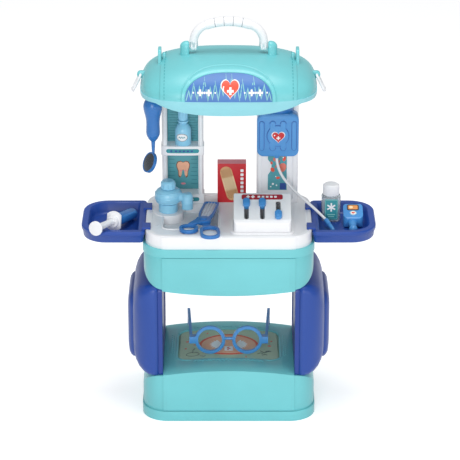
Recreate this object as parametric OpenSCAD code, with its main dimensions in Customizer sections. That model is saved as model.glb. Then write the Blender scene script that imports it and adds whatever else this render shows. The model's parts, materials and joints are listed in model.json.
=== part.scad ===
// Toy doctor case opened out as a standing play table: a crowned case base, two hollow leg
// shells, a tub with a white table, two columns, a domed canopy with a folding handle, two
// hang-on trays and the play tools that stand, lie or hang on it.
// X runs to the right, Y to the back and Z up; the origin is under the middle of the base.

/* [Case halves] */
// Width of the base
base_w = 236; // [230:1:250]
// Depth of the base and of the tub over their proud middle panels
case_d = 164; // [160:1:170]
// Height of the base at its crown
base_h = 75.7; // [65:0.1:85]
// Width of the tub
tub_w = 230; // [230:1:240]
// Height of the tub from its lowest point to its top edge
tub_h = 67.8; // [55:0.1:80]
// Rise of the crowned face from the panel seam to its middle
crown = 6.8; // [3:0.1:9]
// Distance of the panel seams from the middle
seam_x = 90; // [80:0.5:95]
// Height of the rounded shoulders beside the panel seams
shoulder_h = 24; // [15:0.5:30]
// Corner radius of the case halves seen from above
case_r = 34; // [20:1:38]
// How far the middle panels stand proud
panel_step = 1.5; // [0.8:0.1:2.5]
// Wall thickness of the case halves
case_wall = 2.6; // [2:0.1:4]
// Height of the rim band of the base
base_rim_h = 14.2; // [8:0.1:18]
// Height of the rim band of the tub
tub_rim_h = 11.6; // [8:0.1:18]
// How far the rim bands stand proud
rim_step = 1.2; // [0.5:0.1:1.5]
// Thickness of the stiffening ribs inside the halves
rib_t = 1.8; // [1.2:0.1:3]
// Length of the picture recess on the base
picture_w = 141; // [100:1:150]
// Depth from front to back of the picture recess
picture_d = 95; // [70:1:105]
// Middle of the picture recess from front to back
picture_y = 8; // [0:1:12]
// Depth of the picture recess
picture_in = 1.6; // [1:0.1:2]
// Thickness of printed cards and stickers
card_t = 0.6; // [0.4:0.1:0.8]

/* [Legs] */
// Height between the crowns of the base and of the tub
leg_gap = 112.2; // [95:0.1:130]
// Distance of the inner face of a leg from the middle
leg_x = 90; // [84:0.5:92]
// Thickness of the inner cover of a leg
leg_cover_t = 6; // [4:0.5:8]
// Distance of the outer wall of a leg from the middle
leg_out_x = 131; // [124:0.5:132]
// Depth of a leg from front to back
leg_d = 156; // [140:1:160]
// Edge radius of the outer side of a leg
leg_r = 28; // [18:1:30]
// Wall thickness of a leg shell
leg_wall = 2.5; // [2:0.1:4]
// How far the raised pad stands out from the leg
pad_t = 7.4; // [6:0.1:11]
// Size of the raised pad from front to back
pad_d = 96; // [80:1:100]
// Height of the raised pad
pad_h = 98; // [80:1:104]

/* [Table] */
// Width of the white table
table_w = 224.8; // [215:0.2:230]
// Height of the table rim above the tub
table_h = 18.2; // [14:0.1:24]
// Width of the raised bead along the table edge
bead_w = 8; // [7.6:0.1:9]
// Height of the bead above the deck
bead_h = 0.9; // [0.5:0.1:1.5]
// Thickness of the deck
deck_t = 3.5; // [2.5:0.1:5]
// Width of the sink basin
basin_w = 74; // [60:1:76]
// Size of the sink basin from front to back
basin_d = 86; // [70:1:88]
// Depth of the sink basin under the deck
basin_deep = 11; // [6:0.5:14]

/* [Columns] */
// Height of the columns above the deck
column_h = 195; // [180:1:215]
// Width of the columns
column_w = 57; // [52:0.5:58]
// Depth of the columns
column_d = 21.5; // [18:0.1:21.5]
// Distance of the column fronts behind the middle
column_y = 46; // [44:0.5:46]
// Distance of the left column's middle from the middle of the table
left_column_x = 63.1; // [62:0.1:63.5]
// Distance of the right column's middle from the middle of the table
right_column_x = 67; // [65:0.1:67.2]
// Wall thickness of the columns
column_wall = 2.5; // [2:0.1:3]
// Width of the round posts of the left column
post_w = 5.5; // [4:0.1:7]
// Height of the upper shelf above the deck
shelf_z = 84; // [70:1:95]
// Height of the shelf lips
lip_h = 13; // [9:0.5:14]
// How far the shelf lips bulge in front of the column
lip_bulge = 3.6; // [2:0.1:4]

/* [Canopy] */
// Half the width of the dome
dome_a = 116.4; // [114:0.1:122]
// Half the depth of the dome
dome_b = 80; // [79:0.1:82]
// Height of the dome
dome_h = 42; // [36:0.5:50]
// Squareness of the dome seen from above
dome_plan = 3.8; // [3.6:0.1:4.5]
// Squareness of the dome seen from the front
dome_front = 2.5; // [2.4:0.1:3.4]
// Squareness of the arches of the dome seen from the side
dome_side = 2.2; // [2:0.05:2.4]
// Wall thickness of the dome
dome_wall = 2.5; // [2:0.1:3]
// How far the dome's middle panel stands proud
dome_step = 1.2; // [0.8:0.1:1.5]
// Height of the band along the canopy's edge
band_h = 5.6; // [4:0.1:8]
// Thickness of the band and the lip
band_t = 3; // [2:0.1:4]
// How far the front lip hangs below the band
lip_drop = 13.8; // [8:0.1:16]
// How deep the columns reach into the dome
socket_in = 3.5; // [2.5:0.1:5]
// Half the width of the sign
sign_a = 57; // [50:0.5:60]
// Height of the sign
sign_h = 32.4; // [26:0.2:34]
// Width of the arched frame round the sign
frame_w = 5; // [3:0.1:6]

/* [Handle] */
// Distance of each handle foot from the middle
handle_a = 46.3; // [42:0.1:48]
// Height of the handle arch above its pivots
handle_h = 34.4; // [32:0.1:40]
// Thickness of the handle bar
handle_bar = 11.4; // [9:0.1:12]
// Thickness of the handle grip
grip_bar = 13; // [12.6:0.1:15]
// Radius of the handle corners
handle_rc = 24; // [20:0.5:26]
// Radius of the handle's top arc
handle_rt = 90; // [80:1:110]
// Diameter of the handle pivots
pivot_dia = 5; // [4:0.1:6]

/* [Rings] */
// Length of a carrying ring
ring_l = 27; // [22:0.5:32]
// Width of a carrying ring
ring_w = 21; // [18:0.5:26]
// Thickness of the ring wire
ring_wire = 3.6; // [3:0.1:4]
// Angle at which a ring stands off from straight down
ring_splay = 26; // [22:1:30]

/* [Trays] */
// Length of a tray
tray_l = 86.8; // [80:0.2:92]
// Depth of a tray from front to back
tray_d = 117; // [110:1:124]
// Middle of a tray from front to back
tray_y = -3.5; // [-5:0.5:0]
// Height of a tray
tray_h = 17; // [16:0.5:24]
// Radius of the rounded outer corners
tray_r = 34; // [26:1:36]
// Width of a tray hook
hook_w = 18; // [14:0.5:20]

/* [Console] */
// Width of the console
console_w = 77; // [72:1:78]
// Depth of the console
console_d = 50; // [46:1:52]
// Height of the console's front wall
console_front = 15; // [13:0.5:20]
// Slope of the console's top
console_tilt = 25; // [20:1:28]
// Wall thickness of the console
console_wall = 2.4; // [2:0.1:3]
// Distance between the sliders
slider_gap = 21.4; // [19:0.2:23]
// Width of a slider slot
slot_w = 6.4; // [5:0.1:7]
// Length of a slider slot
slot_l = 34; // [30:0.5:36]
// Width of a slider knob
slider_w = 9.8; // [8.4:0.1:12]
// Length of a slider knob
slider_l = 14; // [12:0.5:15]
// Height of a slider knob
slider_h = 6; // [4:0.5:8]

/* [Play tools] */
// Radius of the faucet foot
faucet_r = 13; // [11:0.5:14]
// Radius of the round faucet head
faucet_head_r = 18.5; // [16:0.5:20]
// Radius of the faucet spout
spout_r = 7.6; // [6:0.1:8.5]
// Radius of the faucet knob
knob_r = 9.6; // [8:0.1:11]
// Radius of the soap bottle
soap_r = 11.2; // [10:0.1:11.2]
// Height of the soap bottle's body
soap_h = 27; // [24:1:32]
// Width of the plaster box
plaster_w = 39.5; // [34:0.5:40]
// Depth of the plaster box
plaster_d = 18; // [14:0.5:19]
// Height of the plaster box
plaster_h = 57; // [50:1:62]
// Width of the pill bottle
pill_w = 26; // [22:0.5:28]
// Depth of the pill bottle
pill_d = 22; // [20:0.5:24]
// Height of the pill bottle's body
pill_h = 37; // [32:1:42]
// Radius of the pill bottle's cap
pill_cap_r = 11.4; // [11:0.1:12]
// Radius of the syringe barrel
syringe_r = 7.9; // [7.6:0.1:9]
// Length of the syringe barrel
syringe_l = 57; // [50:1:58]
// Radius of the glasses' rims
lens_r = 21; // [18:0.1:21.5]
// Thickness of the glasses' rims
lens_bar = 4.4; // [3.6:0.1:5]
// Distance of each lens from the middle
lens_x = 25.8; // [25:0.1:26.4]
// Length of the glasses' temples
temple_l = 94; // [86:1:95]
// Radius of the mirror tool's handle
tool_r = 12.8; // [11:0.1:13]
// Radius of the round mirror
mirror_r = 14.2; // [12:0.1:15]
// Width of the blue wall box
box_w = 56.8; // [52:0.2:57]
// Height of the blue wall box
box_h = 61; // [56:1:64]
// Thickness of the blue wall box
box_t = 20; // [16:0.5:22]
// Diameter of the white tube
tube_dia = 3.8; // [3:0.1:4]
// Length of the scissors' tip frame
tip_l = 52; // [46:1:54]

/* [Fits] */
// Clearance of a pin in its bore, on the radius
run_gap = 0.08; // [0.04:0.01:0.1]
// Clearance between parts that lift or slide apart
slip_gap = 0.3; // [0.2:0.05:0.4]

/* [Hidden] */
$fn = 48;
eps = 0.01;
tub_z = base_h + leg_gap;
tub_top = tub_z + tub_h;
table_z = tub_top + table_h;
deck_z = table_z - bead_h;
column_top = deck_z + column_h;
dome_z = column_top - socket_in;
column_x = [-left_column_x, right_column_x];
column_r = 3;
table_d = case_d - 2;
table_r = case_r - 2;
ledge_t = 2.2;
foot_w = 8;
leg_top = tub_z + 11.1;
leg_foot = base_h - 11.7;
leg_h = leg_top - leg_foot;
leg_zc = (leg_top + leg_foot) / 2;
leg_seam = 0.8;
tray_x0 = table_w / 2 + slip_gap;
tray_x1 = tray_x0 + tray_l;
tray_top = deck_z;
tray_floor = tray_top - tray_h + 2.2;
tray_rim = 9.5;
hook_t = 2.6;
hook_y = [25.8, -45.5];
console_x = 45.3;
console_y = -68;
plinth_h = 3;
plinth_rim = 4;
console_z = deck_z + plinth_h;
faucet_x = -82.7;
faucet_y = 14;
faucet_pad = 0.8;
faucet_pad_r = 21;
faucet_foot_h = 12;
head_h = 21;
basin_x = -51.5;
basin_y = -7;
basin_r = 9;
pivot_z = dome_z + dome_h + 8.6;
box_y = column_y - box_t;
box_z = deck_z + 75;
tool_x = -102;
tool_y = 4;
tool_z = dome_z - 12.5;
tool_eye = 3;
glasses_y = -22;
glasses_z = base_h - picture_in + card_t - crown * pow(lens_x / seam_x, 2) + lens_r + 0.1;
lens_in = lens_r - lens_bar;
hinge_x = lens_x + lens_r + 5.2;
hinge_y = glasses_y + 5;
ear_drop = glasses_z - base_h - 0.3;
pill_x = 140.5;
pill_y = 22;
thermo_x = 170;
soap_x = -62.5;
soap_y = column_y + 6.8;
plaster_x = 4.3;
plaster_y = 55.4;
scissor_z = table_z + slip_gap;
blade_t = 2.9;
pivot_x = -34;
pivot_y = -30.5;

// Route of the white tube from the wall box to the nozzle in the right tray
tube_path = [
  [66, 34, 344], [66, 34, 340], [67, 33.5, 334], [69.5, 32, 326], [74, 30, 317.5],
  [80, 27, 310], [88, 23, 302], [97, 18, 294.5], [106, 13, 288], [114, 8, 282.5],
  [121, 3, 277.5], [127, -2, 273], [133, -7, 268.5]];
nozzle_end = [142.5, -28, 261.4];

// ---------- shared shapes ----------

function rrect(w, d, r, n) = [
  for (q = [0:3]) for (i = [0:n])
    let (a = q * 90 + i * 90 / n)
    [(q == 0 || q == 3 ? 1 : -1) * (w / 2 - r) + r * cos(a),
     (q < 2 ? 1 : -1) * (d / 2 - r) + r * sin(a)]];

// Rounds the corners of a polygon with a smooth curve that starts r from each corner
function unit(v) = v / norm(v);
function rounded(pts, r, n = 5) = [
  for (i = [0:len(pts) - 1])
    let (v = pts[i],
         a = v + r * unit(pts[(i + len(pts) - 1) % len(pts)] - v),
         b = v + r * unit(pts[(i + 1) % len(pts)] - v))
    for (k = [0:n])
      let (t = k / n)
      (1 - t) * (1 - t) * a + 2 * t * (1 - t) * v + t * t * b];

// Closed solid through rings of equal point counts, each ring anticlockwise seen from the last
module loft(rings) {
  n = len(rings[0]);
  m = len(rings);
  sides = [
    for (j = [0:m - 2]) for (i = [0:n - 1])
      let (a = j * n + i, b = j * n + (i + 1) % n)
      each [[a, b + n, b], [a, a + n, b + n]]];
  low = [for (i = [0:n - 1]) i];
  high = [for (i = [0:n - 1]) m * n - 1 - i];
  polyhedron([for (r = rings) each r], concat(sides, [low, high]));
}

module slab(w, d, r) {
  square([w - 2 * r, d], center = true);
  square([w, d - 2 * r], center = true);
  for (x = [-1, 1], y = [-1, 1])
    translate([x * (w / 2 - r), y * (d / 2 - r)]) circle(r);
}

module pill(l, r) {
  square([l - 2 * r, 2 * r], center = true);
  for (x = [-1, 1]) translate([x * (l / 2 - r), 0]) circle(r);
}

// Puts a flat outline that was drawn in X and Z upright, from y0 back to y1
module upright(y0, y1) {
  translate([0, y1, 0]) rotate([90, 0, 0]) linear_extrude(y1 - y0) children();
}

function heart(s) = [
  for (i = [0:35])
    let (t = i * 10, k = s / 17)
    [16 * k * pow(sin(t), 3),
     k * (13 * cos(t) - 5 * cos(2 * t) - 2 * cos(3 * t) - cos(4 * t) + 2.5)]];

// ---------- case halves ----------

// Front outline of a case half: crowned between the seams, a rounded shoulder beside each
function crown_outline(half_w, top, shoulder) = concat(
  [[-half_w, -eps]],
  [for (i = [0:6])
    [-seam_x - (half_w - seam_x) * cos(i * 15), top - crown - shoulder * (1 - sin(i * 15))]],
  [for (i = [-11:11])
    let (x = i / 12 * seam_x)
    [x, top - crown * pow(x / seam_x, 2)]],
  [for (i = [6:-1:0])
    [seam_x + (half_w - seam_x) * cos(i * 15), top - crown - shoulder * (1 - sin(i * 15))]],
  [[half_w, -eps]]);

module crowned(w, d, top, shoulder, r) {
  intersection() {
    linear_extrude(top + 1) slab(w, d, r);
    upright(-d, d) polygon(crown_outline(w / 2, top, shoulder));
  }
}

// A closed case half standing on its open edge, with its proud middle panel
module half_solid(w, top) {
  crowned(w, case_d - 2 * panel_step, top - panel_step, shoulder_h, case_r);
  intersection() {
    crowned(w, case_d, top, shoulder_h, case_r);
    translate([-seam_x, -case_d, -1]) cube([2 * seam_x, 2 * case_d, top + 2]);
  }
}

module half_cavity(w, top) {
  translate([0, 0, -eps])
    crowned(w - 2 * case_wall, case_d - 2 * panel_step - 2 * case_wall,
            top - panel_step - case_wall, shoulder_h - case_wall, case_r - case_wall);
}

module half_shell(w, top, rim_h, rib_z) {
  difference() {
    union() {
      half_solid(w, top);
      linear_extrude(rim_h) slab(w + 2 * rim_step, case_d + 2 * rim_step, case_r + rim_step);
    }
    half_cavity(w, top);
    translate([0, 0, rim_h]) difference() {
      linear_extrude(1.2) slab(w + 20, case_d + 20, case_r);
      translate([0, 0, -1]) linear_extrude(4)
        slab(w - 1.2, case_d - 2 * panel_step - 1.2, case_r - 0.6);
    }
  }
  // Stiffening ribs under the crowned face
  intersection() {
    half_cavity(w, top);
    union() {
      for (x = [-seam_x, -seam_x / 3, seam_x / 3, seam_x])
        translate([x - rib_t / 2, -case_d, rib_z]) cube([rib_t, 2 * case_d, top]);
      for (y = [-case_d / 5, case_d / 5])
        translate([-w, y - rib_t / 2, rib_z]) cube([2 * w, rib_t, top]);
    }
  }
}

module base_form() { half_solid(base_w, base_h); }

module tub_form() { translate([0, 0, tub_top]) mirror([0, 0, 1]) half_solid(tub_w, tub_h); }

// Follows the crown of the base from depth low to depth high under its surface
module crown_slice(low, high) {
  upright(-case_d, case_d) polygon(concat(
    [for (i = [-12:12]) let (x = i / 12 * seam_x) [x, base_h - low - crown * pow(x / seam_x, 2)]],
    [for (i = [12:-1:-12]) let (x = i / 12 * seam_x)
      [x, base_h - high - crown * pow(x / seam_x, 2)]]));
}

module base_shell() {
  color("mediumturquoise") {
    difference() {
      half_shell(base_w, base_h, base_rim_h, base_h - 26);
      intersection() {
        crown_slice(picture_in, -2);
        translate([0, picture_y, 0]) linear_extrude(base_h + 1) slab(picture_w, picture_d, 16);
      }
    }
    // Flat foot round the open edge
    linear_extrude(ledge_t) difference() {
      slab(base_w - 1, case_d - 2 * panel_step - 1, case_r - 0.5);
      slab(base_w - 2 * foot_w, case_d - 2 * foot_w, case_r - foot_w);
    }
  }
}

module base_picture() {
  color("darkseagreen") intersection() {
    crown_slice(picture_in, picture_in - card_t);
    translate([0, picture_y, 0]) linear_extrude(base_h + 1)
      slab(picture_w - 2 * slip_gap, picture_d - 2 * slip_gap, 16 - slip_gap);
  }
}

module tub_shell() {
  color("mediumturquoise") translate([0, 0, tub_top]) mirror([0, 0, 1]) {
    half_shell(tub_w, tub_h, tub_rim_h, tub_h - 22);
    // Ledge that carries the table
    linear_extrude(ledge_t) difference() {
      slab(tub_w - 1, case_d - 2 * panel_step - 1, case_r - 0.5);
      slab(table_w - 12, table_d - 16, table_r - 7);
    }
  }
}

// ---------- legs ----------

function leg_ring(x, inset, r) = [
  for (p = rrect(leg_d - 2 * inset, leg_h - 2 * inset, r, 4)) [x, p.x, leg_zc + p.y]];

function pad_ring(x, inset, r) = [
  for (p = rrect(pad_d - 2 * inset, pad_h - 2 * inset, r, 4)) [x, p.x, leg_zc - 6 + p.y]];

// Rounded pillow from the cover out to the outer wall, smaller by wall all round
module leg_pillow(wall, x0) {
  flat_x = leg_out_x - leg_r;
  r = leg_r - wall;
  loft(concat(
    [leg_ring(x0, wall, 9 - wall)],
    [for (i = [0:6])
      leg_ring(flat_x + r * sin(i * 15), wall + r * (1 - cos(i * 15)), 9 - wall + i * 2.5)]));
}

module leg_shell() {
  color("royalblue") difference() {
    union() {
      leg_pillow(0, leg_x + leg_cover_t + leg_seam);
      translate([leg_x + leg_cover_t, 0, leg_zc]) rotate([90, 0, 90])
        linear_extrude(leg_seam + 1) slab(leg_d - 2, leg_h - 2, 8);
      loft([pad_ring(leg_out_x - 9, -2, 19), pad_ring(leg_out_x + 0.5, 0, 17),
            pad_ring(leg_out_x + pad_t * 0.45, 2, 16), pad_ring(leg_out_x + pad_t * 0.8, 6, 14),
            pad_ring(leg_out_x + pad_t, 15, 11)]);
      translate([leg_out_x - 18.5, 60, leg_zc + 45]) rotate([0, 90, 0]) cylinder(h = 15, r = 2.2);
      translate([leg_out_x + pad_t - 1, 20, leg_zc + 14]) cube([1.8, 9, 6]);
    }
    leg_pillow(leg_wall, leg_x + leg_cover_t - 1);
    base_form();
    tub_form();
  }
}

module leg_cover() {
  color("royalblue") difference() {
    translate([leg_x, 0, leg_zc]) rotate([90, 0, 90])
      linear_extrude(leg_cover_t) slab(leg_d, leg_h, 9);
    translate([leg_x - 1, 0, leg_zc]) rotate([90, 0, 90])
      linear_extrude(2.5) slab(leg_d - 16, leg_h - 40, 8);
    base_form();
    tub_form();
  }
}

module left_leg_shell() { mirror([1, 0, 0]) leg_shell(); }
module left_leg_cover() { mirror([1, 0, 0]) leg_cover(); }
module right_leg_shell() { leg_shell(); }
module right_leg_cover() { leg_cover(); }

// ---------- table ----------

module table_top() {
  color("white") difference() {
    union() {
      difference() {
        union() {
          translate([0, 0, tub_top]) linear_extrude(table_h - 1.2)
            slab(table_w, table_d - 2, table_r);
          translate([0, 0, table_z - 1.2]) linear_extrude(1.2)
            slab(table_w - 1.6, table_d - 3.6, table_r - 0.8);
          translate([0, 0, tub_top]) intersection() {
            linear_extrude(table_h - 1.2) slab(table_w, table_d, table_r);
            translate([-seam_x, -case_d, 0]) cube([2 * seam_x, 2 * case_d, table_h]);
          }
        }
        translate([0, 0, tub_top - 1]) linear_extrude(table_h - bead_h - deck_t + 1)
          slab(table_w - 6, table_d - 8, table_r - 3);
        translate([0, 0, deck_z]) linear_extrude(bead_h + 1)
          slab(table_w - 2 * bead_w, table_d - 2 - 2 * bead_w, table_r - bead_w);
      }
      translate([basin_x, basin_y, deck_z - basin_deep - 2]) linear_extrude(basin_deep)
        slab(basin_w + 5, basin_d + 5, basin_r + 2.5);
      translate([faucet_x, faucet_y, deck_z - 1]) linear_extrude(1 + faucet_pad)
        circle(faucet_pad_r);
      translate([console_x, console_y + console_d / 2, deck_z - 1])
        linear_extrude(1 + plinth_h - slip_gap)
          slab(console_w + 2 * plinth_rim, console_d + 2 * plinth_rim, 8);
    }
    // Sink basin, left standing under the faucet
    difference() {
      translate([basin_x, basin_y, deck_z - basin_deep]) linear_extrude(basin_deep + 3)
        slab(basin_w, basin_d, basin_r);
      translate([faucet_x, faucet_y, deck_z - basin_deep - 1])
        cylinder(h = basin_deep + 5, r = faucet_pad_r);
    }
    // Well that the console drops into
    translate([console_x, console_y + console_d / 2, deck_z + eps])
      linear_extrude(plinth_h + 1)
        slab(console_w + 2 * slip_gap, console_d + 2 * slip_gap, 5 + slip_gap);
    // Slots for the tray hooks
    for (s = [-1, 1], y = hook_y)
      translate([s * (tray_x0 - 6) - (hook_t + 2 * slip_gap) / 2,
                 y - hook_w / 2 - slip_gap, tub_top + table_h - 9])
        cube([hook_t + 2 * slip_gap, hook_w + 2 * slip_gap, 10]);
    // Socket of the faucet foot
    translate([faucet_x, faucet_y, deck_z + faucet_pad - 2])
      cylinder(h = 4, r = faucet_r - 3 + run_gap);
  }
}

// ---------- columns ----------

module column_block(x, grow) {
  translate([x, column_y + column_d / 2, 0])
    linear_extrude(column_top) slab(column_w + 2 * grow, column_d + 2 * grow, column_r + grow);
}

// A shelf with a bowed lip that wraps round the column
module shelf_outline() {
  w = column_w + 2;
  polygon(concat(
    [[w / 2, column_d - 4], [-w / 2, column_d - 4]],
    [for (i = [0:12])
      let (a = -90 + i * 15)
      [w / 2 * sin(a) , -1 - lip_bulge * pow(cos(a), 0.7)]]));
}

module left_column() {
  inner_w = column_w - 2 * post_w - 3;
  color("whitesmoke") {
    difference() {
      union() {
        intersection() {
          column_block(-left_column_x, 0);
          translate([-200, 0, deck_z]) cube([400, 200, column_h]);
        }
        for (z = [deck_z, deck_z + shelf_z - lip_h])
          translate([-left_column_x, column_y, z]) linear_extrude(lip_h) shelf_outline();
      }
      // Open niches in front of the back wall
      for (z = [[deck_z + lip_h, shelf_z - 2 * lip_h],
                [deck_z + shelf_z, column_h - shelf_z - 4]])
        translate([-left_column_x - inner_w / 2, column_y - 10, z[0]])
          cube([inner_w, column_d + 10 - column_wall, z[1]]);
      // Hollows inside the shelf lips, open from below
      for (z = [deck_z, deck_z + shelf_z - lip_h])
        translate([-left_column_x - inner_w / 2, column_y + 1, z - 1])
          cube([inner_w, column_d - column_wall - 1, lip_h - 1.5]);
    }
    // Round posts along the front edges
    for (s = [-1, 1])
      translate([-left_column_x + s * (column_w / 2 - post_w / 2 - 1), column_y + 0.6,
                 deck_z + lip_h])
        cylinder(h = column_h - lip_h - 8, r = post_w / 2);
  }
}

module shelf_card(z0, h) {
  inner_w = column_w - 2 * post_w - 3 - 2 * slip_gap;
  translate([-left_column_x - inner_w / 2, column_y + column_d - column_wall - card_t, z0])
    cube([inner_w, card_t, h]);
}

module upper_picture() {
  color("cadetblue") shelf_card(deck_z + shelf_z, column_h - shelf_z - 8);
}

module lower_picture() {
  color("cadetblue") shelf_card(deck_z + lip_h, shelf_z - 2 * lip_h);
}

module shelf_label(z, l) {
  color("teal") intersection() {
    difference() {
      translate([-left_column_x, column_y - card_t, z]) linear_extrude(lip_h) shelf_outline();
      translate([-left_column_x, column_y, z - 1]) linear_extrude(lip_h + 2) shelf_outline();
    }
    translate([-left_column_x, 0, z + lip_h / 2]) upright(0, column_y) pill(l, 2.9);
  }
}

module upper_shelf_label() { shelf_label(deck_z + shelf_z - lip_h, 45); }
module lower_shelf_label() { shelf_label(deck_z, 45); }

module right_column() {
  rail = 7;
  color("whitesmoke") difference() {
    intersection() {
      column_block(right_column_x, 0);
      translate([-200, 0, deck_z]) cube([400, 200, column_h]);
    }
    // Recessed front panel between two rails
    translate([right_column_x - column_w / 2 + rail, column_y - 1, deck_z + 6])
      cube([column_w - 2 * rail, 3, column_h - 12]);
    // Hollow core, open from below
    translate([right_column_x, column_y + column_d / 2 + 1, deck_z - 1])
      linear_extrude(column_h - 2)
        slab(column_w - 2 * column_wall, column_d - 2 * column_wall - 2, 2);
  }
}

module right_picture() {
  color("cadetblue") translate([right_column_x, 0, deck_z + 18])
    upright(column_y + 2 - card_t, column_y + 2)
      polygon([[-13, 0], [13, 0], [13, 150], [-13, 150], [-13, 45], [-8, 38], [-8, 30],
               [-13, 22]]);
}

// ---------- canopy ----------

function super(t, n) = pow(max(0, 1 - pow(abs(t), n)), 1 / n);

// One arch of the dome at x, grown outwards by grow
function dome_arch(x, grow, skirt) =
  let (b = (dome_b + grow) * super(x / (dome_a + grow), dome_plan),
       h = (dome_h + grow) * super(x / (dome_a + grow), dome_front))
  concat(
    [[x, b, dome_z - skirt]],
    [for (i = [0:16])
      let (a = i * 11.25)
      [x, b * sign(cos(a)) * pow(abs(cos(a)), 2 / dome_side),
       dome_z + h * pow(sin(a), 2 / dome_side)]],
    [[x, -b, dome_z - skirt]]);

// Stations along the width, close together where the dome falls off at its ends
function dome_stations(grow) = [
  for (v = [2, 7, 13, 20, 29, 39, 51, 64, 77, 90, 103, 116, 129, 141, 151, 160, 167, 173, 178])
    -(dome_a + grow) * sign(cos(v)) * pow(abs(cos(v)), 2 / dome_front)];

module dome_solid(grow, skirt) {
  loft([for (x = dome_stations(grow)) dome_arch(x, grow, skirt)]);
}

module dome_outer() {
  dome_solid(0, 0);
  intersection() {
    dome_solid(dome_step, 0);
    translate([-seam_x, -200, dome_z]) cube([2 * seam_x, 400, 200]);
  }
}

// Arched outline of the sign in X and Z, grown by grow
function sign_outline(grow) = concat(
  [[sign_a + grow, -5]],
  [for (i = [0:20])
    let (a = i * 9)
    [(sign_a + grow) * sign(cos(a)) * pow(abs(cos(a)), 0.75),
     (sign_h + grow) * pow(sin(a), 0.75)]],
  [[-sign_a - grow, -5]]);

module sign_prism(grow) {
  translate([0, 0, dome_z]) upright(-200, 0) polygon(sign_outline(grow));
}

module canopy_dome() {
  color("mediumturquoise") {
    dome_shell();
    // Lower end of the bracket and the peg that carries the mirror tool
    translate([tool_x - 7, tool_y + 4.5, tool_z - 5.5]) cube([14, 3, dome_z - tool_z + 7.5]);
    translate([tool_x, tool_y + 6, tool_z]) rotate([90, 0, 0]) cylinder(h = 9.5, r = tool_eye);
  }
}

ring_x = dome_a + 1.2;

module dome_shell() {
  lug_x = ring_x;
  difference() {
    union() {
      dome_outer();
      // Arched frame of the sign
      intersection() {
        dome_solid(dome_step + 1.6, 0);
        difference() {
          sign_prism(frame_w);
          sign_prism(0);
        }
        translate([-200, -200, dome_z]) cube([400, 400, 100]);
      }
      // Bosses that carry the handle pivots
      for (s = [-1, 1])
        intersection() {
          translate([s * (handle_a + handle_bar / 2 + slip_gap + 5.4), 0, 0])
            rotate([90, 0, 90]) translate([0, 0, -5.4]) linear_extrude(10.8)
              union() {
                translate([0, pivot_z]) circle(7);
                translate([-7, pivot_z - 20]) square([14, 20]);
              }
          translate([-200, -200, dome_z + 20]) cube([400, 400, 100]);
        }
      // Fins beside the panel seams
      for (s = [-1, 1])
        translate([s * (seam_x + 1.6) - 2.2, 0, 0]) rotate([90, 0, 90]) linear_extrude(4.4)
          polygon(rounded([[-13, dome_z + 24], [13, dome_z + 24], [10, dome_z + 48],
                           [-10, dome_z + 48]], 6));
      // Ears of the carrying rings
      for (s = [-1, 1])
        translate([s * lug_x, 0, dome_z + 11.4]) rotate([90, 0, 0])
          translate([0, 0, -3.2]) linear_extrude(6.4) union() {
            circle(4.6);
            translate([s > 0 ? -9 : 0, -4.6]) square([9, 9.2]);
          }
    }
    difference() {
      dome_solid(-dome_wall, 1);
      // Collars that sleeve over the column tops
      for (x = column_x)
        difference() {
          translate([0, 0, dome_z]) linear_extrude(100)
            translate([x, column_y + column_d / 2])
              slab(column_w + 2 * slip_gap + 4, column_d + 2 * slip_gap + 4, column_r + 2);
          translate([0, 0, column_top + slip_gap + 2]) linear_extrude(100)
            translate([x, column_y + column_d / 2]) slab(column_w, column_d, column_r);
        }
      // Bracket that the mirror tool hangs on
      translate([tool_x - 7, tool_y + 4.5, dome_z - 1]) cube([14, 3, 60]);
    }
    // Seats of the columns
    for (x = column_x)
      translate([x, column_y + column_d / 2, dome_z - 1])
        linear_extrude(socket_in + slip_gap + 1)
          slab(column_w + 2 * slip_gap, column_d + 2 * slip_gap, column_r + slip_gap);
    // Bores of the handle pivots and of the ring ears
    translate([0, 0, pivot_z]) rotate([0, 90, 0])
      cylinder(h = 400, r = pivot_dia / 2 + run_gap, center = true);
    for (s = [-1, 1])
      translate([s * lug_x, 0, dome_z + 11.4]) rotate([90, 0, 0])
        cylinder(h = 20, r = ring_wire / 2 + run_gap, center = true);
    for (s = [-1, 1])
      translate([s * handle_a, 0, 0]) rotate([90, 0, 90]) translate([0, 0, -handle_bar / 2
        - slip_gap]) linear_extrude(handle_bar + 2 * slip_gap) translate([0, pivot_z])
          circle(handle_bar / 2 + slip_gap);
  }
}

// Plan of the canopy, grown by grow
function dome_plan_outline(grow) = [
  for (i = [0:71])
    let (a = i * 5)
    [(dome_a + grow) * sign(cos(a)) * pow(abs(cos(a)), 2 / dome_plan),
     (dome_b + grow) * sign(sin(a)) * pow(abs(sin(a)), 2 / dome_plan)]];

module canopy_rim() {
  color("paleturquoise") difference() {
    union() {
      translate([0, 0, dome_z - band_h]) linear_extrude(band_h)
        polygon(dome_plan_outline(rim_step));
      intersection() {
        translate([0, 0, dome_z - band_h - lip_drop]) linear_extrude(lip_drop + band_h)
          polygon(dome_plan_outline(rim_step));
        upright(-200, 0) polygon(concat(
          [[96, dome_z - 1], [-96, dome_z - 1]],
          [for (i = [-16:16])
            [i * 6, dome_z - band_h - lip_drop * (1 - pow(abs(i) / 16, 2.6))]]));
      }
    }
    translate([0, 0, dome_z - 50]) linear_extrude(60) polygon(dome_plan_outline(-band_t));
    for (x = column_x) translate([0, 0, -1]) column_block(x, slip_gap);
  }
}

module canopy_sign() {
  color("steelblue") intersection() {
    difference() {
      dome_solid(dome_step + 0.7, 0);
      dome_solid(dome_step, 1);
    }
    sign_prism(-0.2);
  }
}

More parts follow.
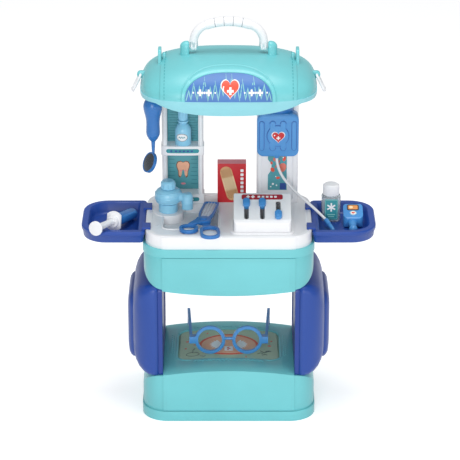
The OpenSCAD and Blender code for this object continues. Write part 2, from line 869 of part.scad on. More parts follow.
module sign_heart() {
  color("tomato") intersection() {
    difference() {
      dome_solid(dome_step + 1.5, 0);
      dome_solid(dome_step + 0.7, 1);
    }
    translate([2, 0, dome_z + 15]) upright(-200, 0) polygon(heart(13.5));
  }
}

// ---------- handle and rings ----------

handle_off = sqrt(pow(handle_rt - handle_rc, 2) - pow(handle_a - handle_rc, 2));
handle_turn = asin((handle_a - handle_rc) / (handle_rt - handle_rc));
arch_z = pivot_z + handle_h - handle_rt;
corner_z = arch_z + handle_off;

// Round bar bent about the Y axis, from angle a0 to a1 off the vertical
module bent_bar(radius, bar, a0, a1) {
  rotate([90, 0, 0]) rotate([0, 0, 90 - a1]) rotate_extrude(angle = a1 - a0)
    translate([radius, 0]) circle(bar / 2);
}

// The corner bends are a hair fuller, so that each bar runs a little way into them
module handle() {
  full = handle_bar + 0.04;
  color("white") {
    translate([0, 0, arch_z])
      bent_bar(handle_rt, handle_bar, -handle_turn - 0.5, handle_turn + 0.5);
    for (s = [-1, 1]) {
      translate([s * (handle_a - handle_rc), 0, corner_z])
        bent_bar(handle_rc, full, s > 0 ? handle_turn : -90, s > 0 ? 90 : -handle_turn);
      translate([s * handle_a, 0, 0]) {
        translate([0, 0, pivot_z]) cylinder(h = corner_z - pivot_z + 1, r = handle_bar / 2);
        translate([-3.6, 0, pivot_z]) rotate([0, 90, 0])
          cylinder(h = 7.2, r = handle_bar / 2 - 0.3);
        translate([s > 0 ? 0 : -13.5, 0, pivot_z]) rotate([0, 90, 0])
          cylinder(h = 13.5, r = pivot_dia / 2);
      }
    }
  }
}

module handle_grip() {
  segments = 5;
  sweep = 2 * handle_turn - 0.8;
  color("white") translate([0, 0, arch_z]) rotate([90, 0, 0]) rotate([0, 0, 90 - sweep / 2])
    difference() {
      rotate_extrude(angle = sweep) translate([handle_rt, 0]) difference() {
        circle(grip_bar / 2);
        circle(handle_bar / 2 + run_gap);
      }
      for (i = [1:segments - 1])
        rotate([0, 0, i * sweep / segments - 0.3]) rotate_extrude(angle = 0.6)
          translate([handle_rt, 0]) difference() {
            circle(grip_bar / 2 + 1);
            circle(grip_bar / 2 - 0.35);
          }
    }
}

// A rounded loop that hangs from its straight upper bar
module ring_loop() {
  w = ring_w / 2 - ring_wire / 2;
  l = ring_l - ring_wire;
  bend = 4.5;
  rotate([90, 0, 0]) cylinder(h = 2 * w - 2 * bend, r = ring_wire / 2, center = true);
  for (s = [-1, 1]) {
    translate([0, s * (w - bend), -bend]) rotate([90, 0, 90])
      rotate([0, 0, s > 0 ? 0 : 90]) rotate_extrude(angle = 90)
        translate([bend, 0]) circle(ring_wire / 2);
    translate([0, s * w, -l + bend]) cylinder(h = l - 2 * bend, r = ring_wire / 2);
    translate([0, s * (w - bend), -l + bend]) rotate([90, 0, 90])
      rotate([0, 0, s > 0 ? 270 : 180]) rotate_extrude(angle = 90)
        translate([bend, 0]) circle(ring_wire / 2);
  }
  translate([0, 0, -l]) rotate([90, 0, 0])
    cylinder(h = 2 * w - 2 * bend, r = ring_wire / 2 + 0.8, center = true);
}

module ring_at(s) {
  color("whitesmoke") translate([s * ring_x, 0, dome_z + 11.4])
    rotate([0, -s * ring_splay, 0]) ring_loop();
}

module left_ring() { ring_at(-1); }
module right_ring() { ring_at(1); }

// ---------- trays ----------

// D-shaped ring of a tray: square at the table, rounded at the far end
function tray_ring(z, inset) =
  let (x0 = tray_x0 + inset, x1 = tray_x1 - inset,
       y0 = tray_y - tray_d / 2 + inset, y1 = tray_y + tray_d / 2 - inset,
       r1 = max(4, tray_r - inset), r0 = max(3, 6 - inset))
  concat(
    [for (i = [0:8]) let (a = -90 + i * 11.25) [x1 - r1 + r1 * cos(a), y0 + r1 + r1 * sin(a), z]],
    [for (i = [0:8]) let (a = i * 11.25) [x1 - r1 + r1 * cos(a), y1 - r1 + r1 * sin(a), z]],
    [for (i = [0:3]) let (a = 90 + i * 30) [x0 + r0 + r0 * cos(a), y1 - r0 + r0 * sin(a), z]],
    [for (i = [0:3]) let (a = 180 + i * 30) [x0 + r0 + r0 * cos(a), y0 + r0 + r0 * sin(a), z]]);

module tray() {
  low = tray_top - tray_h;
  color("royalblue") {
    loft([
      tray_ring(low, 4.6), tray_ring(low + 0.8, 3.2), tray_ring(low + 2, 2.4),
      tray_ring(tray_top - 6.2, 1.2), tray_ring(tray_top - 5.4, 0),
      tray_ring(tray_top - 1.4, 0), tray_ring(tray_top, 1.4), tray_ring(tray_top, tray_rim - 1.2),
      tray_ring(tray_top - 1.2, tray_rim), tray_ring(low + 6, tray_rim + 1.8),
      tray_ring(tray_floor + 0.6, tray_rim + 4), tray_ring(tray_floor, tray_rim + 7)]);
    // Hooks over the table's edge
    for (y = hook_y)
      translate([0, y - hook_w / 2, 0]) {
        translate([tray_x0 + 0.2, 0, tray_top - 4])
          cube([4, hook_w, 4 + bead_h + slip_gap + hook_t]);
        translate([tray_x0 - 6 - hook_t / 2, 0, table_z + slip_gap])
          cube([8 + hook_t, hook_w, hook_t]);
        translate([tray_x0 - 6 - hook_t / 2, 0, table_z - 6]) cube([hook_t, hook_w, 8]);
      }
  }
}

module left_tray() { mirror([1, 0, 0]) tray(); }
module right_tray() { tray(); }

// ---------- console ----------

slope_c = cos(console_tilt);
slope_s = sin(console_tilt);
console_top_y = console_y + 2;
slope_len = (console_d - 4) / slope_c;

// Moves children into the frame of the sloped top: X across, Y up the slope, Z out of it
module on_slope() {
  translate([console_x, console_top_y, console_z - plinth_h + console_front + plinth_h])
    rotate([console_tilt, 0, 0]) children();
}

// Side outline of the console in Y and Z, smaller by wall
function console_side(wall) =
  let (z0 = deck_z + eps, z1 = console_z + console_front, d = console_d, k = slope_s / slope_c)
  wall > 0
  ? [[console_y + wall, z0 - 1], [console_y + d - wall, z0 - 1],
     [console_y + d - wall, z1 + (d - 2 - wall) * k - wall / slope_c],
     [console_y + wall, z1 + (wall - 2) * k - wall / slope_c]]
  : [[console_y, z0], [console_y + d, z0], [console_y + d, z1 + (d - 4) * k - 1.2],
     [console_y + d - 0.6, z1 + (d - 4) * k - 0.3], [console_y + d - 2, z1 + (d - 4) * k],
     [console_top_y + 5, z1 + 5 * k], [console_top_y + 2.4, z1 + 1], [console_top_y + 0.4, z1 - 0.4],
     [console_y + 0.9, z1 - 2.2], [console_y + 0.2, z1 - 4.6], [console_y, z1 - 7]];

module console_form(wall) {
  intersection() {
    translate([console_x - console_w / 2 + wall, 0, 0]) rotate([90, 0, 90])
      linear_extrude(console_w - 2 * wall) polygon(console_side(wall));
    translate([console_x, console_y + console_d / 2, 0]) linear_extrude(table_z + 100)
      slab(console_w - 2 * wall, console_d - 2 * wall, 5 - wall);
  }
}

slider_x = [-slider_gap, 0, slider_gap];
slot_mid = 3.5 + slot_l / 2;
label_mid = slope_len - 6.4;

module console_housing() {
  color("whitesmoke") difference() {
    console_form(0);
    console_form(console_wall);
    on_slope() {
      for (x = slider_x)
        translate([x, slot_mid, -10]) linear_extrude(20) rotate(90) pill(slot_l, slot_w / 2);
      translate([0, label_mid, -card_t]) linear_extrude(5) slab(56, 9.6, 3);
    }
  }
}

module console_label() {
  color("firebrick") on_slope() translate([0, label_mid, -card_t]) linear_extrude(card_t + 0.2)
    slab(56 - 2 * slip_gap, 9.6 - 2 * slip_gap, 3 - slip_gap);
}

module slider_track() {
  color("dimgray") on_slope() difference() {
    translate([-console_w / 2 + console_wall, 2.5, -console_wall - 4])
      cube([console_w - 2 * console_wall, slot_l + 2, 1.6]);
    for (x = slider_x)
      translate([x - 1.5, slot_mid - slot_l / 2 + 2, -10]) cube([3, slot_l - 4, 20]);
  }
}

slider_travel = slot_l - slider_l + 2;

module slider(x, y) {
  color("dodgerblue") on_slope() translate([x, y, 0]) {
    translate([0, 0, slip_gap]) linear_extrude(slider_h - 1.5)
      rotate(90) pill(slider_l, slider_w / 2 - 0.1);
    translate([0, 0, slip_gap + slider_h - 1.5]) linear_extrude(1.5)
      rotate(90) pill(slider_l - 2.4, slider_w / 2 - 1.2);
    for (k = [-1, 0, 1])
      translate([-slider_w / 2 + 2.2, k * 2.6 - 0.5, slider_h]) cube([slider_w - 4.4, 1, 0.9]);
    translate([0, 0, -console_wall - slip_gap])
      linear_extrude(console_wall + 2 * slip_gap + 1)
        rotate(90) pill(slider_l - 4, slot_w / 2 - slip_gap);
    translate([-slot_w / 2 - 1, -slider_l / 2 + 2, -console_wall - 2 - slip_gap])
      cube([slot_w + 2, slider_l - 4, 2]);
    translate([-1.2, -3, -console_wall - 5.6]) cube([2.4, 6, 4]);
  }
}

slider_high = slot_mid + slider_travel / 2;
slider_low = slot_mid - slider_travel / 2;

module left_slider() { slider(slider_x[0], slider_high); }
module middle_slider() { slider(slider_x[1], slider_high); }
module right_slider() { slider(slider_x[2], slider_low); }

// ---------- faucet ----------

foot_z = deck_z + faucet_pad;
head_z = foot_z + faucet_foot_h;

module faucet_foot() {
  color("skyblue") translate([faucet_x, faucet_y, foot_z]) {
    translate([0, 0, -2]) cylinder(h = 2.5, r = faucet_r - 3);
    cylinder(h = faucet_foot_h - slip_gap, r = faucet_r);
    cylinder(h = faucet_foot_h + head_h + 7, r = 4);
  }
}

spout_dx = 26.3;
spout_dy = -9;
spout_len = norm([spout_dx, spout_dy]);
spout_turn = atan2(spout_dy, spout_dx);

module faucet_head() {
  r = faucet_head_r;
  h = head_h / 2;
  color("skyblue") translate([faucet_x, faucet_y, head_z]) difference() {
    union() {
      // Round body like a thick tyre
      rotate_extrude() polygon(concat(
        [[0, 0]],
        [for (i = [-8:8]) let (a = i * 11.25)
          [r - h * 0.9 + h * 0.9 * pow(cos(a), 0.8), h + h * sin(a)]],
        [[0, head_h]]));
      rotate([0, 0, spout_turn]) {
        translate([0, 0, h]) rotate([0, 90, 0]) cylinder(h = spout_len, r = 6.2);
        translate([spout_len, 0, 0]) {
          translate([0, 0, -5]) cylinder(h = 19, r = spout_r);
          translate([0, 0, 14]) cylinder(h = 3, r1 = spout_r, r2 = spout_r - 2.4);
          translate([0, 0, 3]) cylinder(h = 1.4, r = spout_r + 0.5);
        }
      }
    }
    translate([0, 0, -1]) cylinder(h = head_h + 2, r = 4 + run_gap);
    rotate([0, 0, spout_turn]) translate([spout_len, 0, -6]) cylinder(h = 10, r = spout_r - 2);
  }
}

module faucet_knob() {
  color("skyblue") translate([faucet_x, faucet_y, head_z + head_h + slip_gap]) difference() {
    union() {
      cylinder(h = 9, r = knob_r);
      translate([0, 0, 9]) cylinder(h = 2.2, r1 = knob_r, r2 = knob_r - 2);
      for (i = [0:11])
        rotate(i * 30) translate([knob_r - 0.2, 0, 1]) cylinder(h = 7, r = 0.8);
    }
    translate([0, 0, -1]) cylinder(h = 8.2, r = 4 + run_gap);
  }
}

// ---------- things on the columns and the table ----------

module soap_bottle() {
  z = deck_z + shelf_z;
  color("skyblue") translate([soap_x, soap_y, z]) difference() {
    rotate_extrude() polygon(concat(
      [[0, 0], [soap_r - 1, 0], [soap_r, 1], [soap_r, soap_h - 10]],
      [for (i = [1:6]) let (a = i * 15)
        [5.6 + (soap_r - 5.6) * cos(a), soap_h - 10 + 14 * sin(a)]],
      [[5, soap_h + 4], [5, soap_h + 5], [7.6, soap_h + 5.6], [7.6, soap_h + 7.6], [5, soap_h + 8.2],
       [3.9, soap_h + 8.2], [3.9, soap_h + 14], [0, soap_h + 14]]));
    translate([0, 0, 2]) cylinder(h = soap_h - 10, r = soap_r - 1.6);
  }
}

module soap_cap() {
  z = deck_z + shelf_z + soap_h + 8.2 + slip_gap;
  color("skyblue") translate([soap_x, soap_y, z]) difference() {
    union() {
      cylinder(h = 14, r = 6.2);
      translate([0, 0, 14]) cylinder(h = 1.5, r1 = 6.2, r2 = 4.8);
      for (i = [0:11]) rotate(i * 30) translate([6, 0, 1]) cylinder(h = 11, r = 0.6);
    }
    translate([0, 0, -1]) cylinder(h = 7.5, r = 3.9 + run_gap);
  }
}

module plaster_box() {
  color("crimson") translate([plaster_x - plaster_w / 2, plaster_y - plaster_d / 2, deck_z])
    difference() {
      cube([plaster_w, plaster_d, plaster_h]);
      translate([1, 1, 1]) cube([plaster_w - 2, plaster_d - 2, plaster_h - 2]);
      // Tuck flap slit along the top front edge
      translate([2, plaster_d - 1.3, plaster_h - 0.5]) cube([plaster_w - 4, 0.5, 1]);
    }
}

module wall_box() {
  color("dodgerblue") translate([right_column_x, 0, box_z + box_h / 2]) difference() {
    union() {
      upright(box_y + 2, column_y) slab(box_w, box_h, 9);
      upright(box_y + 0.6, box_y + 2) slab(box_w - 1.6, box_h - 1.6, 8.2);
      upright(box_y, box_y + 0.6) slab(box_w - 4, box_h - 4, 7);
      // Raised round boss and bars on the face
      upright(box_y - 1.2, box_y + 1) circle(14.4);
      for (x = [-1, 1]) {
        translate([x * 22, 0, 0]) upright(box_y - 1.2, box_y + 1) rotate(90) pill(41, 2.8);
        for (z = [-1, 1])
          translate([x * 7.2, 0, z * 14]) upright(box_y - 1.2, box_y + 1) rotate(90) pill(14, 3.4);
      }
      // Outlet of the tube
      translate([66 - right_column_x, 34, 344 - box_z - box_h / 2]) cylinder(h = 8, r = 3.4);
    }
    // Hollow inside the housing
    upright(box_y + 2.5, column_y - 2) slab(box_w - 5, box_h - 5, 7);
  }
}

module wall_box_heart() {
  color("red") translate([right_column_x + 0.5, 0, box_z + box_h / 2 - 2])
    upright(box_y - 1.2 - 0.8, box_y - 1.2) polygon(heart(8.8));
}

// Collar that hooks the box to the column
module box_hanger() {
  color("royalblue") intersection() {
    translate([right_column_x, column_y, box_z + box_h]) linear_extrude(14)
      polygon([for (i = [0:18]) let (a = 180 + i * 10)
        [21 * cos(a), 17 * sin(a)]]);
    translate([right_column_x, 0, box_z + box_h])
      upright(0, column_y) polygon(rounded([[-21, 0], [21, 0], [21, 10], [17, 14], [-17, 14],
                                            [-21, 10]], 1.2));
  }
}

// ---------- mirror tool ----------

mirror_turn = 28;
mirror_lean = 25;

// Moves children into the frame of the round mirror, whose rim hangs on the stem
module at_mirror() {
  reach = mirror_r - 1.2;
  translate([0, 0, -91]) rotate([0, 0, mirror_turn]) rotate([0, 90 + mirror_lean, 0])
    translate([reach, 0, 0]) children();
}

module mirror_tool() {
  color("dodgerblue") translate([tool_x, tool_y, tool_z]) {
    difference() {
      union() {
        // Waisted handle turned about its own axis
        rotate_extrude() polygon([
          [0, -74], [2.6, -73.6], [3.4, -72.6], [6.4, -69], [8.9, -63.6], [9.4, -59.8],
          [9.2, -54], [9, -48.8], [9.1, -44], [9.5, -40.4], [10.4, -36], [11.5, -31.8],
          [12.4, -27.5], [tool_r, -23.4], [12.5, -20], [11, -16], [8.4, -12.4], [5, -10],
          [0, -9.2]]);
        // Hanging tab
        translate([0, 2, 0]) rotate([90, 0, 0]) linear_extrude(4) union() {
          circle(7);
          translate([-5, -14]) square([10, 14]);
        }
        translate([0, 0, -93]) cylinder(h = 21, r1 = 1.7, r2 = 2.9);
        at_mirror() cylinder(h = 4, r = mirror_r, center = true);
      }
      rotate([90, 0, 0]) cylinder(h = 20, r = tool_eye + run_gap, center = true);
      at_mirror() translate([0, 0, -3]) cylinder(h = 2.2, r = mirror_r - 1.8);
    }
  }
}

module mirror_glass() {
  color("lightgray") translate([tool_x, tool_y, tool_z]) at_mirror()
    translate([0, 0, -1.9]) cylinder(h = 1.1, r = mirror_r - 2);
}

// ---------- tube and nozzle ----------

function tangent(p, i) = unit(p[min(len(p) - 1, i + 1)] - p[max(0, i - 1)]);

// Ring of 8 points round a path point; the ends are square to the tube's run
function tube_ring(p, i, r) =
  let (t = i == 0 ? [0, 0, -1] : i == len(p) - 1 ? unit(nozzle_end - p[i]) : tangent(p, i),
       u = unit(cross(t, [0, 1, 0.01])), v = cross(t, u))
  [for (k = [0:7]) p[i] + r * (cos(k * 45 + 22.5) * u + sin(k * 45 + 22.5) * v)];

module tube() {
  color("white") loft([for (i = [0:len(tube_path) - 1]) tube_ring(tube_path, i, tube_dia / 2)]);
}

module along(from, to) {
  d = to - from;
  translate(from) rotate([0, acos(d.z / norm(d)), atan2(d.y, d.x)]) children();
}

module nozzle() {
  from = tube_path[len(tube_path) - 1];
  l = norm(nozzle_end - from);
  color("dodgerblue") along(from, nozzle_end) {
    cylinder(h = l * 0.42, r = 3.3);
    translate([0, 0, l * 0.4]) cylinder(h = l * 0.16, r = 2.5);
    translate([0, 0, l * 0.54]) cylinder(h = l * 0.34, r = 2.9);
    translate([0, 0, l * 0.875]) cylinder(h = l * 0.125, r1 = 2.9, r2 = 2);
  }
}

// ---------- syringe ----------

syringe_tip = [-131, 24, tray_floor + syringe_r - 0.4];
syringe_end = [-177, -75, tray_top + 11.2];

module on_syringe() { along(syringe_tip, syringe_end) children(); }

module syringe_barrel() {
  color("dodgerblue") on_syringe() difference() {
    union() {
      translate([0, 0, 4]) cylinder(h = syringe_l - 4, r = syringe_r);
      rotate_extrude() polygon(concat(
        [[0, 4.01]],
        [for (i = [0:6]) let (a = i * 15) [syringe_r * sin(a), 4 - 4 * cos(a)]],
        [[syringe_r, 4.01]]));
    }
    translate([0, 0, 6]) cylinder(h = syringe_l, r = syringe_r - 1.7);
  }
}

module syringe_collar() {
  color("white") on_syringe() difference() {
    union() {
      translate([0, 0, syringe_l]) linear_extrude(3) intersection() {
        circle(13.8);
        square([40, 21], center = true);
      }
      translate([0, 0, syringe_l + 3]) cylinder(h = 5, r = 8.4);
    }
    translate([0, 0, syringe_l - 1]) cylinder(h = 12, r = 4.6 + run_gap);
  }
}

module syringe_plunger() {
  l = norm(syringe_end - syringe_tip);
  color("white") on_syringe() {
    translate([0, 0, 36]) cylinder(h = 5, r = syringe_r - 1.7 - run_gap);
    translate([0, 0, 40]) cylinder(h = l - 40, r = 4.6);
    translate([0, 0, l - 0.2]) cylinder(h = 2.6, r = 9.8);
  }
}

// ---------- pill bottle ----------

pill_z = tray_floor + 0.3;
pill_neck = pill_z + pill_h;

module pill_bottle() {
  color("gainsboro") translate([pill_x, pill_y, 0]) difference() {
    union() {
      translate([0, 0, pill_z]) linear_extrude(pill_h - 3) slab(pill_w, pill_d, 6);
      translate([0, 0, pill_neck - 3]) linear_extrude(1.6) slab(pill_w - 2, pill_d - 2, 6);
      translate([0, 0, pill_neck - 1.4]) linear_extrude(1.4) slab(pill_w - 5, pill_d - 2.4, 6);
      translate([0, 0, pill_neck]) cylinder(h = 9, r = 8.6);
    }
    translate([0, 0, pill_z + 1.6]) linear_extrude(pill_h - 5)
      slab(pill_w - 3.2, pill_d - 3.2, 4.4);
    translate([0, 0, pill_z + 3]) cylinder(h = pill_h + 10, r = 7.1);
  }
}

module pill_cap() {
  ribs = 36;
  color("white") translate([pill_x, pill_y, pill_neck + slip_gap]) difference() {
    union() {
      linear_extrude(13) polygon([for (i = [0:2 * ribs - 1]) let (a = i * 180 / ribs)
        (pill_cap_r - (i % 2 == 0 ? 0 : 0.5)) * [cos(a), sin(a)]]);
      translate([0, 0, 13]) cylinder(h = 1.6, r1 = pill_cap_r - 0.8, r2 = pill_cap_r - 2.2);
    }
    translate([0, 0, -1]) cylinder(h = 9.7, r = 8.6 + slip_gap);
  }
}

module pill_label() {
  color("teal") translate([pill_x, 0, pill_z + 18])
    upright(pill_y - pill_d / 2 - card_t, pill_y - pill_d / 2) slab(pill_w - 8, 30, 2);
}

// ---------- thermometer ----------

thermo_w = 26.6;
thermo_y0 = -13.6;
thermo_top = tray_floor + 25;

module thermometer() {
  z = tray_floor + slip_gap;
  color("cornflowerblue") difference() {
    intersection() {
      translate([thermo_x - thermo_w / 2, 0, 0]) rotate([90, 0, 90]) linear_extrude(thermo_w)
        polygon(rounded([[-9.5, z], [20, z], [20.5, z + 8], [16.8, thermo_top],
                         [thermo_y0, z + 15], [thermo_y0 + 0.6, z + 8]], 2.2));
      translate([thermo_x, 1.8, 0]) linear_extrude(400) slab(thermo_w, 31.4, 8);
    }
    tip_form();
  }
}

thermo_slope = atan2(thermo_top - tray_floor - slip_gap - 15, 16.8 - thermo_y0);

module on_thermo() {
  translate([thermo_x, thermo_y0, tray_floor + slip_gap + 15]) rotate([thermo_slope, 0, 0])
    children();
}

module thermometer_screen() {
  color("orange") on_thermo() translate([0, 23, 0]) linear_extrude(card_t)
    slab(13, 8.4, 1.6);
}

module tip_form() {
  z = tray_floor + slip_gap;
  translate([thermo_x - 1, -31, z + 6]) sphere(6);
  translate([thermo_x - 1, -12.4, z + 7]) rotate([90, 0, 0]) cylinder(h = 14.4, r1 = 6.5, r2 = 4);
}

module thermometer_tip() {
  color("dodgerblue") tip_form();
}

// ---------- scissors ----------

blade_l = 63;
blade_w = 21;
blade_turn = -10.3;
loop_h = 4.4;
ring_t = 3.6;

// Blade in its own plan, its length along +Y from the pivot, smaller by inset
module blade_plan(inset) {
  polygon(rounded([[-8 + inset, 3 + inset], [7.5 - inset, 3 + inset],
                   [blade_w / 2 - inset, 22], [blade_w / 2 - inset, blade_l - inset],
                   [-blade_w / 2 + inset, blade_l - inset], [-blade_w / 2 + inset, 22]],
                  6 - inset / 2));
}

// Window in the blade, clear of the round boss
module blade_window(gap) {
  difference() {
    blade_plan(2.8 + gap);
    circle(10 + gap);
  }
}

module at_pivot(z) {
  translate([pivot_x, pivot_y, z]) children();
}

module finger_loop(x, y, w, d, turn) {
  r = min(w, d) / 2 - 0.5;
  translate([x, y, scissor_z]) rotate(turn) difference() {
    linear_extrude(loop_h) slab(w, d, r);
    translate([0, 0, -1]) linear_extrude(loop_h + 2)
      slab(w - 2 * ring_t, d - 2 * ring_t, r - ring_t);
  }
}

module scissor_upper() {
  z = scissor_z + blade_t + 0.1;
  color("dodgerblue") {
    difference() {
      union() {
        at_pivot(z) rotate(blade_turn) linear_extrude(blade_t) blade_plan(0);
        at_pivot(z) cylinder(h = blade_t, r = 10);
        translate([0, 0, z]) linear_extrude(blade_t - 0.3)
          polygon([[-44, -30], [-36, -40], [-46, -48.5], [-55, -48], [-52, -42]]);
        at_pivot(z) cylinder(h = blade_t + 1.6, r = 4.6);
      }
      at_pivot(z - 1) rotate(blade_turn) linear_extrude(blade_t + 2) blade_window(0);
      at_pivot(z - 10) cylinder(h = 12, r = 2.5 + run_gap);
    }
    finger_loop(-53.6, -57.9, 25.4, 25, 6);
  }
}

module scissor_insert() {
  z = scissor_z + blade_t + 0.1;
  color("silver") at_pivot(z) rotate(blade_turn) intersection() {
    linear_extrude(blade_t - 0.3) blade_window(run_gap);
    union() {
      translate([-30, -10, 0]) cube([60, 90, 1.4]);
      for (i = [-1, 0, 1])
        translate([i * 4 - 0.8, 0, 0]) cube([1.6, 80, blade_t]);
    }
  }
}

module scissor_lower() {
  color("dodgerblue") {
    at_pivot(scissor_z) rotate(blade_turn) linear_extrude(blade_t) blade_plan(1);
    at_pivot(scissor_z) cylinder(h = blade_t, r = 10);
    at_pivot(scissor_z) cylinder(h = blade_t + 1.9, r = 2.5);
    translate([0, 0, scissor_z]) linear_extrude(blade_t)
      polygon([[-37, -36], [-27, -34], [-22, -54], [-32, -56]]);
    finger_loop(-25, -70.6, 26.4, 38, 4);
  }
}

// ---------- glasses ----------

module glasses_front() {
  color("cornflowerblue") translate([0, glasses_y, glasses_z]) {
    for (s = [-1, 1]) {
      translate([s * lens_x, 0, 0]) rotate([90, 0, 0]) difference() {
        union() {
          translate([0, 0, -1.6]) cylinder(h = 3.2, r = lens_r);
          translate([0, 0, -2.2]) cylinder(h = 4.4, r = lens_r - 1);
        }
        translate([0, 0, -5]) cylinder(h = 10, r = lens_in);
      }
      // Lug that carries the temple hinge
      difference() {
        translate([s > 0 ? lens_x + lens_r - 2 : -hinge_x - 2.6, -2, -5])
          cube([hinge_x + 2.6 - lens_x - lens_r + 2, hinge_y - glasses_y + 4.5, 10]);
        translate([s > 0 ? hinge_x - 14 : -hinge_x - 3.5, 2, -2 - slip_gap])
          cube([17.5, 12, 4 + 2 * slip_gap]);
        translate([s * hinge_x, hinge_y - glasses_y, -10])
          cylinder(h = 20, r = 1.2 + run_gap);
      }
    }
    // Bridge
    translate([0, 0, 2]) rotate([0, 90, 0]) cylinder(h = 2 * (lens_x - lens_in) , r = 2, center = true);
  }
}

// Temple in X and Y along its length, with a drop at the ear that stands on the base
module temple(s) {
  color("cornflowerblue") translate([s * hinge_x, hinge_y, glasses_z]) rotate([0, 0, -s * 3]) {
    cylinder(h = 4, r = 2.8, center = true);
    translate([-2, 0, -2]) cube([4, 14, 4]);
    translate([-2, 0, 0]) rotate([90, 0, 90]) linear_extrude(4)
      polygon(rounded([[10, -2], [42, -2.6], [temple_l - 12, -3], [temple_l - 9, -ear_drop],
                       [temple_l - 1, -ear_drop], [temple_l, 4], [temple_l - 30, 4], [10, 2]], 2));
    cylinder(h = 9.8, r = 1.2, center = true);
  }
}

module left_temple() { temple(-1); }
module right_temple() { temple(1); }

base_shell();
base_picture();
left_leg_shell();
left_leg_cover();
right_leg_shell();
right_leg_cover();
tub_shell();
table_top();
left_column();
upper_picture();
lower_picture();
upper_shelf_label();
lower_shelf_label();
right_column();
right_picture();
canopy_dome();
canopy_rim();
canopy_sign();
sign_heart();
handle();
handle_grip();
left_ring();
right_ring();
left_tray();
right_tray();
console_housing();
console_label();
slider_track();
left_slider();
middle_slider();
right_slider();
faucet_foot();
faucet_head();
faucet_knob();
soap_bottle();
soap_cap();
plaster_box();
wall_box();
wall_box_heart();
box_hanger();
tube();
nozzle();
mirror_tool();
mirror_glass();
syringe_barrel();
syringe_collar();
syringe_plunger();
pill_bottle();
pill_cap();
pill_label();
thermometer();
thermometer_tip();
thermometer_screen();
scissor_upper();
scissor_lower();
scissor_insert();
glasses_front();
left_temple();
right_temple();
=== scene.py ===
import json
import math

